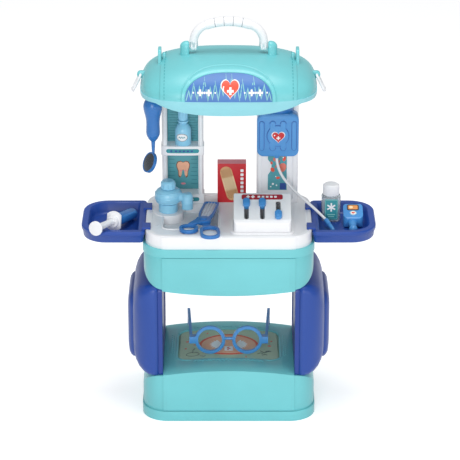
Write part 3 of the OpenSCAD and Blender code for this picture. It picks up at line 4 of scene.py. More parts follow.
import bmesh
import bpy
from mathutils import Matrix, Vector
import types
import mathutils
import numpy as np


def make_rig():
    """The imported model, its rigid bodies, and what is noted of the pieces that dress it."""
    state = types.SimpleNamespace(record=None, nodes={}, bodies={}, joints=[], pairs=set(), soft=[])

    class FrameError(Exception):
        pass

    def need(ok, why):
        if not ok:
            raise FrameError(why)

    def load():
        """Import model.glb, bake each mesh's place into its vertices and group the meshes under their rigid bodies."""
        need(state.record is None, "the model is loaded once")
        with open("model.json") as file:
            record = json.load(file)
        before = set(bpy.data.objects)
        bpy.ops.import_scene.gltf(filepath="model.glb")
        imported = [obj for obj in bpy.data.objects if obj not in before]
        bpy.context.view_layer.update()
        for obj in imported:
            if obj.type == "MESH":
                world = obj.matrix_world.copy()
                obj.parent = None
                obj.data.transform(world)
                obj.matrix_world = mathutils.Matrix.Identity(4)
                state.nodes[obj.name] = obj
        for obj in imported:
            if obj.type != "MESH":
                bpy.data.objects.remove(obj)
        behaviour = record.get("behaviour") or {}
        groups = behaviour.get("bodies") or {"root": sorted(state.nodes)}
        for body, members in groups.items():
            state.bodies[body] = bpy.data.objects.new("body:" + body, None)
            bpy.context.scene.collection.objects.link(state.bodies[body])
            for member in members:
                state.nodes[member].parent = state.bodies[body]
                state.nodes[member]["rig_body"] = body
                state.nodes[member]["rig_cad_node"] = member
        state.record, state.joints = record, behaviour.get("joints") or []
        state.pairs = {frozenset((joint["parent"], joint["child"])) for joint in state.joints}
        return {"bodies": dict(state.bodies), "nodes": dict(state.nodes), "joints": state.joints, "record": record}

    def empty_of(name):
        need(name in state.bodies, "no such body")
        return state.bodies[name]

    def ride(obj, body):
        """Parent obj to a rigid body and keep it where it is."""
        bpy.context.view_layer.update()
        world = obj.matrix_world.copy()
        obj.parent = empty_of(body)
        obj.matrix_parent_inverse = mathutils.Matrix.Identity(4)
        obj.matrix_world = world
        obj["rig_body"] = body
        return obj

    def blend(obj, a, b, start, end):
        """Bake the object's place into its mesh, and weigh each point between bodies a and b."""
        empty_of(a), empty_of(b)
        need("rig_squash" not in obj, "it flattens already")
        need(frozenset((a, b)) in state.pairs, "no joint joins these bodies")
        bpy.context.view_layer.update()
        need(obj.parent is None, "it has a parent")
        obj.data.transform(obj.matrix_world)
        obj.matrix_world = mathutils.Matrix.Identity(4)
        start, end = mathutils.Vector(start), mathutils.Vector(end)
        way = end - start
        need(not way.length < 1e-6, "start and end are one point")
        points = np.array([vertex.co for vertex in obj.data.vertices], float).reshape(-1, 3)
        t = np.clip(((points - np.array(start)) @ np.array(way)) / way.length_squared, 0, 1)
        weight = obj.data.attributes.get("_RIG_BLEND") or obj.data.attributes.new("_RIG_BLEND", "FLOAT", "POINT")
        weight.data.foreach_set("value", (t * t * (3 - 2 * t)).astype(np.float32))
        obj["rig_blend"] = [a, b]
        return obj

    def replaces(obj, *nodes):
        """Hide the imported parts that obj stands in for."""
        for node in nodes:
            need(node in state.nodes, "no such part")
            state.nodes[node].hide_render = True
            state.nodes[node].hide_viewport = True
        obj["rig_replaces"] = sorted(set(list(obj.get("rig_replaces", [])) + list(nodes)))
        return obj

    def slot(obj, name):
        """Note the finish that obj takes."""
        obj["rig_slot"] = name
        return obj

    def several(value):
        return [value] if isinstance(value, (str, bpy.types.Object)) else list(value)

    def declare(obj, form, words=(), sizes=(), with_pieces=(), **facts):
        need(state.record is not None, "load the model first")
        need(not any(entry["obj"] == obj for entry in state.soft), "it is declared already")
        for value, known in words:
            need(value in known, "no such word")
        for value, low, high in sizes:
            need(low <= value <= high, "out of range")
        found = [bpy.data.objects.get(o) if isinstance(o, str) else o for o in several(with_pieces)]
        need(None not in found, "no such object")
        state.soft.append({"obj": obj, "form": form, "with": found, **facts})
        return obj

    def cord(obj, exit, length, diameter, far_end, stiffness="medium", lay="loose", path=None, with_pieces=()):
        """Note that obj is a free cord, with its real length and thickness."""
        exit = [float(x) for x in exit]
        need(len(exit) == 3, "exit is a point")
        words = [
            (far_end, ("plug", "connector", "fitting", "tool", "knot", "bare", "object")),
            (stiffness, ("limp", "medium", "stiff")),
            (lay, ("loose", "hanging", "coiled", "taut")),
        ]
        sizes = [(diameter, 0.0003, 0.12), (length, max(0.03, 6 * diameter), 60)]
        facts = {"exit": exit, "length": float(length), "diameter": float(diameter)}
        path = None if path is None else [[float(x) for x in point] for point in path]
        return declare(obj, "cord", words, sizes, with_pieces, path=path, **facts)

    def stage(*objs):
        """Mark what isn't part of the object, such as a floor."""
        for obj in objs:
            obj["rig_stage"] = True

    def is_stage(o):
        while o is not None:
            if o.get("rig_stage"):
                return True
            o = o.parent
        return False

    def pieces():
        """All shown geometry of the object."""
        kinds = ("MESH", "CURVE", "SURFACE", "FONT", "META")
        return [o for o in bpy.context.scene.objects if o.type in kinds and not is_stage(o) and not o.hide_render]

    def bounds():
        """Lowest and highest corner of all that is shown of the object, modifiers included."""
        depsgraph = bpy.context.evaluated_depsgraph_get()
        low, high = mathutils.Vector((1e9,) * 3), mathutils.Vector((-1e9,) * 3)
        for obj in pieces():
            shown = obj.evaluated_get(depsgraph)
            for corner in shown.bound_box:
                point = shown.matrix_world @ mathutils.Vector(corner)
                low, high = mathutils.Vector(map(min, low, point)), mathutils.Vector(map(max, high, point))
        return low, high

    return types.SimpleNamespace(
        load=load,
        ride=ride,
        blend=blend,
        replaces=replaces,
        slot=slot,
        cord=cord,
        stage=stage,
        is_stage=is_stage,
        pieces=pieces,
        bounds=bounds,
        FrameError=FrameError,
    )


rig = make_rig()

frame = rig.load()
cad_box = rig.bounds()

scene = bpy.context.scene
scene.view_settings.view_transform = "Standard"
MM = 0.001

# ---------------------------------------------------------------- camera

cam_data = bpy.data.cameras.new("camera")
cam_data.sensor_width = 36.0
cam_data.lens = 36.0 * 2334.7 / 460.0
cam = bpy.data.objects.new("camera", cam_data)
scene.collection.objects.link(cam)
target = Vector((0.0018, 0.0, 0.2507))
tilt = math.radians(22.5)
cam.location = target + 3.2 * Vector((0, -math.cos(tilt), math.sin(tilt)))
cam.rotation_euler = (target - cam.location).to_track_quat("-Z", "Y").to_euler()
cam_data.clip_end = 50
scene.camera = cam

# ---------------------------------------------------------------- sizes, as in the solids

BASE_H, CROWN, SEAM = 75.7, 6.8, 90.0
PICTURE_IN, CARD = 1.6, 0.6
DECK = 273.0
DOME_Z, DOME_A, DOME_B, DOME_H = 464.5, 116.4, 80.0, 42.0
DOME_PLAN, DOME_FRONT, DOME_SIDE = 3.8, 2.5, 2.2
DOME_STEP, DOME_WALL = 1.2, 2.5
SIGN_A, SIGN_H = 57.0, 32.4
COL_Y, COL_D, COL_W = 46.0, 21.5, 57.0
LCX, RCX = -63.1, 67.0
LIP_H, LIP_BULGE, SHELF_Z = 13.0, 3.6, 84.0
TRAY_FLOOR = 258.2

bodies = frame["record"]["behaviour"]["bodies"]
node_body = {n: b for b, nodes in bodies.items() for n in nodes}
node_slot = {s["node"]: s["material_slot"] for s in frame["record"]["subparts"]}


# ---------------------------------------------------------------- materials

def lin(c):
    return tuple(((v / 255) / 12.92 if v <= 10.3 else ((v / 255 + 0.055) / 1.055) ** 2.4)
                 for v in c) + (1.0,)


def start_material(name):
    """A material with its nodes, its links, its shader and object coordinates."""
    m = bpy.data.materials.new(name)
    m.use_nodes = True
    nodes, links = m.node_tree.nodes, m.node_tree.links
    return m, nodes, links, nodes["Principled BSDF"], nodes.new("ShaderNodeTexCoord")


def noise(nodes, links, coords, scale, detail=2.0):
    t = nodes.new("ShaderNodeTexNoise")
    t.inputs["Scale"].default_value = scale
    t.inputs["Detail"].default_value = detail
    links.new(coords.outputs["Object"], t.inputs["Vector"])
    return t.outputs["Fac"]


def ramp(nodes, links, fac, first, last, middle=None):
    """Colour ramp from first to last, each a position and a colour."""
    r = nodes.new("ShaderNodeValToRGB")
    points = r.color_ramp.elements
    points[0].position, points[0].color = first
    if middle:
        points.new(middle[0]).color = middle[1]
    points[-1].position, points[-1].color = last
    links.new(fac, r.inputs["Fac"])
    return r.outputs["Color"]


def vary_roughness(nodes, links, fac, shader, low, high):
    g = nodes.new("ShaderNodeMapRange")
    g.inputs["To Min"].default_value = low
    g.inputs["To Max"].default_value = high
    links.new(fac, g.inputs["Value"])
    links.new(g.outputs["Result"], shader.inputs["Roughness"])


def bumps(nodes, links, fac, shader, strength, distance):
    b = nodes.new("ShaderNodeBump")
    b.inputs["Strength"].default_value = strength
    b.inputs["Distance"].default_value = distance
    links.new(fac, b.inputs["Height"])
    links.new(b.outputs["Normal"], shader.inputs["Normal"])


def toned(base, share):
    """The colour made lighter or darker by a share of itself."""
    return tuple(min(1.0, v * (1 + share)) for v in base[:3]) + (1.0,)


def grey(v):
    return (v, v, v, 1.0)


def plastic(name, rgb, rough=0.34, spread=0.035, coat=0.12, shade=0.06):
    """Moulded plastic: slight cloudiness, uneven gloss, fine grain, painted shade in the hollows and a painted
    highlight on sharp edges.
    """
    m, n, l, p, tc = start_material(name)
    base = lin(rgb)
    cloud = ramp(n, l, noise(n, l, tc, 14.0, 4.0), (0.32, toned(base, -spread)),
                 (0.7, toned(base, spread)))
    # painted highlight on exposed edges, painted shade in the creases
    geo = n.new("ShaderNodeNewGeometry")
    edge = ramp(n, l, geo.outputs["Pointiness"], (0.40, grey(1 - shade * 2.2)),
                (0.62, grey(1 + shade)), middle=(0.5, grey(1.0)))
    mix = n.new("ShaderNodeMix")
    mix.data_type = "RGBA"
    mix.blend_type = "MULTIPLY"
    mix.inputs["Factor"].default_value = 1.0
    l.new(cloud, mix.inputs["A"])
    l.new(edge, mix.inputs["B"])
    l.new(mix.outputs["Result"], p.inputs["Base Color"])
    vary_roughness(n, l, noise(n, l, tc, 60.0, 5.0), p, max(0.05, rough - 0.07), rough + 0.09)
    bumps(n, l, noise(n, l, tc, 1680.0, 3.0), p, 0.03, 0.0004)
    p.inputs["Coat Weight"].default_value = coat
    p.inputs["Coat Roughness"].default_value = 0.18
    p.inputs["Specular IOR Level"].default_value = 0.45
    m.diffuse_color = base
    return m


def card(name, rgb, rough=0.42, fleck=0.05, dots=None, dot_rgb=None):
    """Printed card or sticker: paper fibre, faint blotches, semi-gloss varnish."""
    m, n, l, p, tc = start_material(name)
    fibre = noise(n, l, tc, 900.0, 6.0)
    blot = noise(n, l, tc, 55.0, 3.0)
    base = lin(rgb)
    last = ramp(n, l, blot, (0.35, toned(base, -fleck)), (0.65, toned(base, fleck)))
    if dots:
        v = n.new("ShaderNodeTexVoronoi")
        v.inputs["Scale"].default_value = dots
        v.inputs["Randomness"].default_value = 0.0
        l.new(tc.outputs["Object"], v.inputs["Vector"])
        mx = n.new("ShaderNodeMix")
        mx.data_type = "RGBA"
        l.new(ramp(n, l, v.outputs["Distance"], (0.16, grey(1.0)), (0.22, grey(0.0))),
              mx.inputs["Factor"])
        l.new(last, mx.inputs["A"])
        mx.inputs["B"].default_value = lin(dot_rgb)
        last = mx.outputs["Result"]
    l.new(last, p.inputs["Base Color"])
    vary_roughness(n, l, blot, p, rough - 0.06, rough + 0.08)
    bumps(n, l, fibre, p, 0.05, 0.0002)
    m.diffuse_color = base
    return m


TURQ = plastic("turquoise_plastic", (112, 197, 203), rough=0.36, coat=0.1)
# a paler copy of the turquoise, used on the canopy rim: painted highlight where the front light falls on the lip
TURQ_LIT = plastic("pale_turquoise_plastic", (140, 207, 218), rough=0.36, coat=0.1)
TURQ_D = plastic("stitch_turquoise_plastic", (70, 164, 170), rough=0.4)
ROYAL = plastic("royal_blue_plastic", (28, 69, 153), rough=0.38, coat=0.06)
# a darker copy of the royal blue, used on the inward-facing leg covers: painted shade
ROYAL_SHADED = plastic("deep_blue_plastic", (24, 58, 140), rough=0.4, coat=0.05)
MID = plastic("mid_blue_plastic", (70, 142, 206), rough=0.3, coat=0.2)
MID_D = plastic("tool_blue_plastic", (44, 114, 186), rough=0.32, coat=0.15)
LIGHT = plastic("light_blue_plastic", (142, 204, 232), rough=0.3, coat=0.2)
WHITE = plastic("white_plastic", (236, 237, 240), rough=0.3, coat=0.18, spread=0.012, shade=0.03)
WHITE_S = plastic("white_sheet_plastic", (226, 227, 230), rough=0.38, coat=0.08, spread=0.015,
                  shade=0.03)
GREY = plastic("grey_plastic", (150, 152, 158), rough=0.4)
TRACK = plastic("track_plastic", (118, 121, 127), rough=0.45)
# a grey for the rings at the grip seams: painted groove shade
SEAM_SHADE_GREY = plastic("seam_grey_plastic", (162, 166, 172), rough=0.5, coat=0.0)
SILVER = plastic("silver_plastic", (205, 210, 222), rough=0.28, coat=0.3)
# a darker blue for the wall box outlines: painted shade of its grooves and edges
MID_GROOVE_SHADE = plastic("groove_blue_plastic", (44, 98, 172), rough=0.4)
BLACK = card("ink_dark", (40, 52, 62))
C_TEAL = card("card_teal", (84, 158, 168))
C_TEAL_D = card("card_deep_teal", (38, 110, 124))
C_LABEL = card("label_teal", (48, 146, 156))
C_BLUE = card("card_blue", (66, 118, 186))
C_ECG = card("card_zigzag", (138, 204, 196))
C_RED = card("card_red", (196, 26, 38))
C_DRED = card("card_dark_red", (170, 26, 40))
C_PINK = card("card_pink", (240, 142, 152))
C_HEART = card("card_heart", (224, 84, 62))
C_WHITE = card("card_white", (242, 243, 244))
C_TAN = card("card_tan", (206, 160, 112))
C_CREAM = card("card_cream", (236, 210, 166), dots=330.0, dot_rgb=(150, 92, 50))
C_CREAM_P = card("card_pale_yellow", (250, 226, 180))
C_GREEN = card("card_green", (176, 200, 172))
C_CORAL = card("card_coral", (222, 120, 104))
C_SKIN = card("card_peach", (238, 178, 146))
C_BROWN = card("card_brown", (124, 72, 42))
C_ORANGE = card("card_orange", (226, 150, 84))
C_NAVY = card("card_navy", (44, 78, 150))


def clear_plastic():
    m, n, l, p, tc = start_material("clear_plastic")
    p.inputs["Base Color"].default_value = lin((226, 234, 240))
    p.inputs["Transmission Weight"].default_value = 0.72
    p.inputs["IOR"].default_value = 1.35
    haze = noise(n, l, tc, 80.0)
    vary_roughness(n, l, haze, p, 0.12, 0.26)
    bumps(n, l, haze, p, 0.04, 0.0004)
    return m


def mirror_mat():
    m, n, l, p, tc = start_material("mirror_foil")
    p.inputs["Metallic"].default_value = 0.85
    haze = noise(n, l, tc, 90.0)
    l.new(ramp(n, l, haze, (0.0, lin((74, 80, 88))), (1.0, lin((104, 110, 118)))),
          p.inputs["Base Color"])
    vary_roughness(n, l, haze, p, 0.2, 0.34)
    return m


CLEAR = clear_plastic()
FOIL = mirror_mat()


# ---------------------------------------------------------------- mesh helpers

def finish_mesh(bm, name, mat, smooth=38, parent_body="stand", slot=None):
    bmesh.ops.recalc_face_normals(bm, faces=bm.faces)
    me = bpy.data.meshes.new(name)
    bm.to_mesh(me)
    bm.free()
    me.shade_smooth()
    me.set_sharp_from_angle(angle=math.radians(smooth))
    ob = bpy.data.objects.new(name, me)
    scene.collection.objects.link(ob)
    me.materials.append(mat)
    if parent_body:
        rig.ride(ob, parent_body)
    if slot:
        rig.slot(ob, slot)
    return ob


def skin(node, mat, bevel=0.45, segments=3, angle=34, smooth=38, name=None):
    """The node's own mesh with merged points and softly rounded moulded edges."""
    src = frame["nodes"][node]
    bm = bmesh.new()
    bm.from_mesh(src.data)
    bmesh.ops.remove_doubles(bm, verts=bm.verts, dist=2e-6)
    bmesh.ops.dissolve_degenerate(bm, edges=bm.edges, dist=2e-6)
    bmesh.ops.dissolve_limit(bm, angle_limit=math.radians(0.6), verts=bm.verts, edges=bm.edges)
    me = bpy.data.meshes.new(name or node + "_skin")
    bm.to_mesh(me)
    bm.free()
    me.materials.clear()
    me.materials.append(mat)
    ob = bpy.data.objects.new(name or node + "_skin", me)
    scene.collection.objects.link(ob)
    if bevel:
        mod = ob.modifiers.new("edge", "BEVEL")
        mod.width = bevel * MM
        mod.segments = segments
        mod.limit_method = "ANGLE"
        mod.angle_limit = math.radians(angle)
        mod.use_clamp_overlap = True
        mod.miter_outer = "MITER_ARC"
        deps = bpy.context.evaluated_depsgraph_get()
        new = bpy.data.meshes.new_from_object(ob.evaluated_get(deps))
        ob.modifiers.clear()
        ob.data = new
        me = new
        bm = bmesh.new()
        bm.from_mesh(me)
        bmesh.ops.remove_doubles(bm, verts=bm.verts, dist=1e-6)
        bm.to_mesh(me)
        bm.free()
    me.shade_smooth()
    me.set_sharp_from_angle(angle=math.radians(smooth))
    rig.replaces(ob, node)
    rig.slot(ob, node_slot[node])
    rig.ride(ob, node_body[node])
    return ob


def V(*p):
    return Vector(p) * MM


def plane(origin, u, v):
    """Surface with millimetre coordinates u and v on a plane, h out of it."""
    u, v = Vector(u).normalized(), Vector(v).normalized()
    w = u.cross(v)
    o = Vector(origin)

    def f(a, b, h):
        return (o + a * u + b * v + h * w) * MM
    return f


def with_normal(point):
    """Adds the height h along the normal of a surface point(u, v)."""
    def f(a, b, h):
        e = 0.05
        p = point(a, b)
        n = (point(a + e, b) - point(a - e, b)).cross(point(a, b + e) - point(a, b - e))
        return (p + h * n.normalized()) * MM
    return f


def join_rings(bm, rings, closed=False):
    """Faces between rings of points; unless closed, the first and last ring get a cap."""
    m = len(rings[0])
    for a, b in zip(rings, rings[1:] + rings[:1] if closed else rings[1:]):
        for k in range(m):
            bm.faces.new((a[k], a[(k + 1) % m], b[(k + 1) % m], b[k]))
    if not closed:
        bm.faces.new(rings[0])
        bm.faces.new(list(reversed(rings[-1])))


def ribbon(bm, path, half, h0, h1, surf, closed=False, soft=0.3):
    """Raised bar along path on a surface, with softened upper edges, its ends closed."""
    n = len(path)
    soft = min(soft, half * 0.6, abs(h1 - h0) * 0.6)
    rings = []
    for i, (u, v) in enumerate(path):
        a = path[(i - 1) % n] if closed or i > 0 else path[i]
        b = path[(i + 1) % n] if closed or i < n - 1 else path[i]
        d1 = Vector((u - a[0], v - a[1]))
        d2 = Vector((b[0] - u, b[1] - v))
        if d1.length < 1e-9:
            d1 = d2
        if d2.length < 1e-9:
            d2 = d1
        d1.normalize()
        d2.normalize()
        t = d1 + d2
        t = t.normalized() if t.length > 1e-6 else d1
        nu, nv = -t[1], t[0]
        k = 1 / max(0.35, abs(t.dot(d1)))
        ring = []
        for off, h in ((-half, h0), (-half, h1 - soft), (-half + soft, h1), (half - soft, h1),
                       (half, h1 - soft), (half, h0)):
            ring.append(bm.verts.new(surf(u + nu * off * k, v + nv * off * k, h)))
        rings.append(ring)
    join_rings(bm, rings, closed)


def patch(bm, outline, h0, h1, surf, step=None):
    """Flat filled shape laid on a surface; step cuts it so that it follows a curve."""
    tmp = bmesh.new()
    tmp.faces.new([tmp.verts.new((u, v, 0)) for u, v in outline])
    if step:
        tmp.faces.ensure_lookup_table()
        tmp.faces[0].normal_update()
        bmesh.ops.triangulate(tmp, faces=tmp.faces)
        us = [p[0] for p in outline]
        vs = [p[1] for p in outline]
        for axis, lo, hi in ((0, min(us), max(us)), (1, min(vs), max(vs))):
            x = lo + step
            while x < hi - 1e-6:
                no = (1, 0, 0) if axis == 0 else (0, 1, 0)
                co = (x, 0, 0) if axis == 0 else (0, x, 0)
                bmesh.ops.bisect_plane(tmp, geom=tmp.verts[:] + tmp.edges[:] + tmp.faces[:],
                                       dist=1e-5, plane_co=co, plane_no=no)
                x += step
    faces = tmp.faces[:]
    low = {}
    high = {}
    for v in tmp.verts:
        low[v] = bm.verts.new(surf(v.co.x, v.co.y, h0))
        high[v] = bm.verts.new(surf(v.co.x, v.co.y, h1))
    for f in faces:
        bm.faces.new([high[v] for v in f.verts])
        bm.faces.new([low[v] for v in reversed(f.verts)])
    for e in tmp.edges:
        if len(e.link_faces) == 1:
            a, b = e.verts
            bm.faces.new((low[a], low[b], high[b], high[a]))
    tmp.free()


def ellipse(cu, cv, a, b, n=36, turn=0.0):
    c, s = math.cos(turn), math.sin(turn)
    out = []
    for i in range(n):
        t = 2 * math.pi * i / n
        x, y = a * math.cos(t), b * math.sin(t)
        out.append((cu + x * c - y * s, cv + x * s + y * c))
    return out


def rrect2(cu, cv, w, h, r, n=6):
    out = []
    for q, (sx, sy) in enumerate(((1, 1), (-1, 1), (-1, -1), (1, -1))):
        for i in range(n + 1):
            a = math.radians(q * 90 + i * 90 / n)
            out.append((cu + sx * (w / 2 - r) + r * math.cos(a),
                        cv + sy * (h / 2 - r) + r * math.sin(a)))
    return out


def heart2(cu, cv, s):
    k = s / 17
    out = []
    for i in range(60):
        t = math.radians(i * 6)
        out.append((cu + 16 * k * math.sin(t) ** 3,
                    cv + k * (13 * math.cos(t) - 5 * math.cos(2 * t) - 2 * math.cos(3 * t)
                              - math.cos(4 * t) + 2.5)))
    return out


def plus2(cu, cv, s, w):
    a, b = s / 2, w / 2
    return [(cu + x, cv + y) for x, y in ((-b, -a), (b, -a), (b, -b), (a, -b), (a, b), (b, b),
                                          (b, a), (-b, a), (-b, b), (-a, b), (-a, -b), (-b, -b))]


def star2(cu, cv, s, arms=6, w=0.34):
    """Generic star of round-ended bars."""
    out = []
    for i in range(arms):
        a = math.radians(90 + i * 360 / arms)
        b = math.radians(90 + (i + 0.5) * 360 / arms)
        d, p = Vector((math.cos(a), math.sin(a))), Vector((-math.sin(a), math.cos(a)))
        for q in (d * s - p * s * w * 0.5, d * s + p * s * w * 0.5):
            out.append((cu + q[0], cv + q[1]))
        out.append((cu + math.cos(b) * s * w, cv + math.sin(b) * s * w))
    return out


def make(name, mat, body, slot, build, smooth=38):
    bm = bmesh.new()
    build(bm)
    return finish_mesh(bm, name, mat, smooth, body, slot)


# ---------------------------------------------------------------- the tube, first of all

PATH = [(66, 34, 344), (66, 34, 340), (67, 33.5, 334), (69.5, 32, 326), (74, 30, 317.5),
        (80, 27, 310), (88, 23, 302), (97, 18, 294.5), (106, 13, 288), (114, 8, 282.5),
        (121, 3, 277.5), (127, -2, 273), (133, -7, 268.5)]


def smooth_path(points, per=6):
    pts = [Vector(p) for p in points]
    ext = [2 * pts[0] - pts[1]] + pts + [2 * pts[-1] - pts[-2]]
    out = []
    for i in range(1, len(ext) - 2):
        p0, p1, p2, p3 = ext[i - 1:i + 3]
        for k in range(per):
            t = k / per
            out.append(0.5 * (2 * p1 + (p2 - p0) * t + (2 * p0 - 5 * p1 + 4 * p2 - p3) * t * t
                              + (3 * p1 - p0 - 3 * p2 + p3) * t ** 3))
    out.append(pts[-1])
    return out


route = smooth_path(PATH)
tube_len = sum((route[i + 1] - route[i]).length for i in range(len(route) - 1)) * MM


def build_tube(bm):
    rings = []
    up = Vector((0, 1, 0.01))
    for i, p in enumerate(route):
        if i == 0:
            t = Vector((0, 0, -1))
        else:
            t = (route[min(i + 1, len(route) - 1)] - route[i - 1]).normalized()
        u = t.cross(up).normalized()
        v = t.cross(u)
        rings.append([bm.verts.new((p + 1.88 * (math.cos(k * math.pi / 10) * u
                                                + math.sin(k * math.pi / 10) * v)) * MM)
                      for k in range(20)])
    join_rings(bm, rings)


nozzle = skin("nozzle", MID, bevel=0.25)
tube = make("tube_skin", WHITE_S, None, "white_plastic", build_tube)
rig.replaces(tube, "tube")
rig.blend(tube, "stand", "tray_right", start=(0.09, 0.022, 0.300), end=(0.130, -0.0045, 0.2705))
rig.cord(tube, exit=(0.066, 0.034, 0.344), length=tube_len, diameter=0.0038, far_end="fitting",
        stiffness="medium", lay="loose", path=[tuple(p * MM) for p in route],
        with_pieces=[nozzle])

# ---------------------------------------------------------------- nodes that keep their form

for node, mat, bev in (
        ("base_shell", TURQ, 0.7), ("tub_shell", TURQ, 0.7), ("table_top", WHITE, 0.7),
        ("left_leg_shell", ROYAL, 0.0), ("right_leg_shell", ROYAL, 0.0),
        ("left_leg_cover", ROYAL_SHADED, 0.6), ("right_leg_cover", ROYAL_SHADED, 0.6),
        ("left_column", WHITE, 0.5), ("right_column", WHITE, 0.6),
        ("handle", WHITE, 0.0), ("handle_grip", WHITE, 0.3),
        ("left_ring", WHITE, 0.0), ("right_ring", WHITE, 0.0),
        ("left_tray", ROYAL, 0.0), ("right_tray", ROYAL, 0.0),
        ("console_housing", WHITE, 0.9), ("slider_track", TRACK, 0.2),
        ("left_slider", MID, 0.35), ("middle_slider", MID, 0.35), ("right_slider", MID, 0.35),
        ("faucet_foot", LIGHT, 0.4), ("faucet_head", LIGHT, 0.5), ("faucet_knob", LIGHT, 0.4),
        ("soap_cap", LIGHT, 0.3),
        ("wall_box", MID, 0.5), ("box_hanger", MID_D, 0.6),
        ("mirror_tool", MID_D, 0.4), ("mirror_glass", FOIL, 0.15),
        ("syringe_barrel", MID_D, 0.3), ("syringe_collar", WHITE, 0.5),
        ("syringe_plunger", WHITE, 0.6),
        ("pill_bottle", CLEAR, 0.4), ("pill_cap", WHITE, 0.3),
        ("thermometer", MID, 1.0), ("thermometer_tip", MID, 0.3),
        ("scissor_upper", MID_D, 0.8), ("scissor_lower", MID_D, 0.8),
        ("scissor_insert", SILVER, 0.2),
        ("glasses_front", MID, 0.6), ("left_temple", MID, 0.5), ("right_temple", MID, 0.5),
        ("plaster_box", C_RED, 0.2), ("base_picture", C_GREEN, 0.0),
        ("upper_picture", C_TEAL, 0.1), ("lower_picture", C_TEAL, 0.1),
        ("right_picture", C_TEAL, 0.1), ("console_label", C_DRED, 0.1),
        ("upper_shelf_label", C_LABEL, 0.1), ("lower_shelf_label", C_LABEL, 0.1),
        ("pill_label", C_LABEL, 0.1), ("thermometer_screen", C_ORANGE, 0.1),
        ("wall_box_heart", C_RED, 0.15), ("canopy_rim", TURQ_LIT, 0.5)):
    skin(node, mat, bevel=bev)

# ---------------------------------------------------------------- canopy dome

def sup(t, n):
    return max(0.0, 1 - abs(t) ** n) ** (1 / n)


def spow(v, e):
    return math.copysign(abs(v) ** e, v)


def dome_point(x, ang, grow):
    """Point of the dome at width x and arch angle ang (0 at the back edge, 180 at the front)."""
    b = (DOME_B + grow) * sup(x / (DOME_A + grow), DOME_PLAN)
    h = (DOME_H + grow) * sup(x / (DOME_A + grow), DOME_FRONT)
    a = math.radians(ang)
    return Vector((x, b * spow(math.cos(a), 2 / DOME_SIDE),
                   DOME_Z + h * max(0.0, math.sin(a)) ** (2 / DOME_SIDE)))


def dome_front(grow):
    """Front of the dome over X and the height above its edge."""
    def point(x, z):
        b = (DOME_B + grow) * sup(x / (DOME_A + grow), DOME_PLAN)
        h = (DOME_H + grow) * sup(x / (DOME_A + grow), DOME_FRONT)
        t = min(0.9999, max(0.0, z) / h)
        s = t ** (DOME_SIDE / 2)
        y = -b * math.sqrt(1 - s * s) ** (2 / DOME_SIDE)
        return Vector((x, y, DOME_Z + z))
    return with_normal(point)


def build_dome(bm):
    def stations(grow):
        xs = []
        for i in range(91):
            v = math.radians(i * 2)
            xs.append(-(DOME_A + grow) * spow(math.cos(v), 2 / DOME_FRONT))
        out = [(x, grow) for x in xs if x < -SEAM - 1.5]
        out += [(-SEAM - 0.5, grow), (-SEAM - 0.12, grow + 0.1), (-SEAM, grow + 0.4),
                (-SEAM + 0.05, grow + DOME_STEP - 0.35), (-SEAM + 0.25, grow + DOME_STEP - 0.08),
                (-SEAM + 0.7, grow + DOME_STEP)]
        out += [(x, grow + DOME_STEP) for x in xs if -SEAM + 1.6 < x < SEAM - 1.6]
        out += [(SEAM - 0.7, grow + DOME_STEP), (SEAM - 0.25, grow + DOME_STEP - 0.08),
                (SEAM - 0.05, grow + DOME_STEP - 0.35), (SEAM, grow + 0.4),
                (SEAM + 0.12, grow + 0.1), (SEAM + 0.5, grow)]
        out += [(x, grow) for x in xs if x > SEAM + 1.5]
        return out
    outer = stations(0.0)
    angs = [i * 180 / 64 for i in range(65)]
    grid = []
    for x, g in outer:
        grid.append([bm.verts.new(dome_point(x, a, g) * MM) for a in angs])
    inner = []
    k = (DOME_A - DOME_WALL) / DOME_A
    for x, g in outer:
        inner.append([bm.verts.new(dome_point(x * k, a, -DOME_WALL) * MM) for a in angs])
    for g, flip in ((grid, False), (inner, True)):
        for r0, r1 in zip(g, g[1:]):
            for j in range(64):
                f = (r0[j], r0[j + 1], r1[j + 1], r1[j])
                try:
                    bm.faces.new(tuple(reversed(f)) if flip else f)
                except ValueError:
                    pass
    for j in (0, 64):
        for i in range(len(outer) - 1):
            bm.faces.new((grid[i][j], grid[i + 1][j], inner[i + 1][j], inner[i][j]))
    bmesh.ops.remove_doubles(bm, verts=bm.verts, dist=1e-6)
    bmesh.ops.dissolve_degenerate(bm, edges=bm.edges, dist=1e-7)


dome = make("canopy_dome_skin", TURQ, None, "turquoise", build_dome, smooth=50)


def box_verts(bm, lo, hi):
    r = bmesh.ops.create_cube(bm, size=1.0)
    for v in r["verts"]:
        v.co = Vector(((lo[0] + hi[0]) / 2 + v.co.x * (hi[0] - lo[0]),
                       (lo[1] + hi[1]) / 2 + v.co.y * (hi[1] - lo[1]),
                       (lo[2] + hi[2]) / 2 + v.co.z * (hi[2] - lo[2]))) * MM


def prism_x(bm, outline, x0, x1, soft=1.0):
    """Outline in Y and Z extruded along X, its rims rounded by soft."""
    def ring(x, inset):
        out = []
        n = len(outline)
        for i, (y, z) in enumerate(outline):
            a, b = outline[i - 1], outline[(i + 1) % n]
            t = Vector((b[0] - a[0], b[1] - a[1])).normalized()
            out.append(bm.verts.new(V(x, y - t[1] * inset, z + t[0] * inset)))
        return out
    s = soft
    rings = []
    for d, inset in ((0, s), (s * 0.13, s * 0.5), (s * 0.5, s * 0.13), (s, 0)):
        rings.append(ring(x0 + d, inset))
    for d, inset in ((s, 0), (s * 0.5, s * 0.13), (s * 0.13, s * 0.5), (0, s)):
        rings.append(ring(x1 - d, inset))
    join_rings(bm, rings)


PIVOT_Z = DOME_Z + DOME_H + 8.6
ARCH_Z = PIVOT_Z + 34.4 - 90


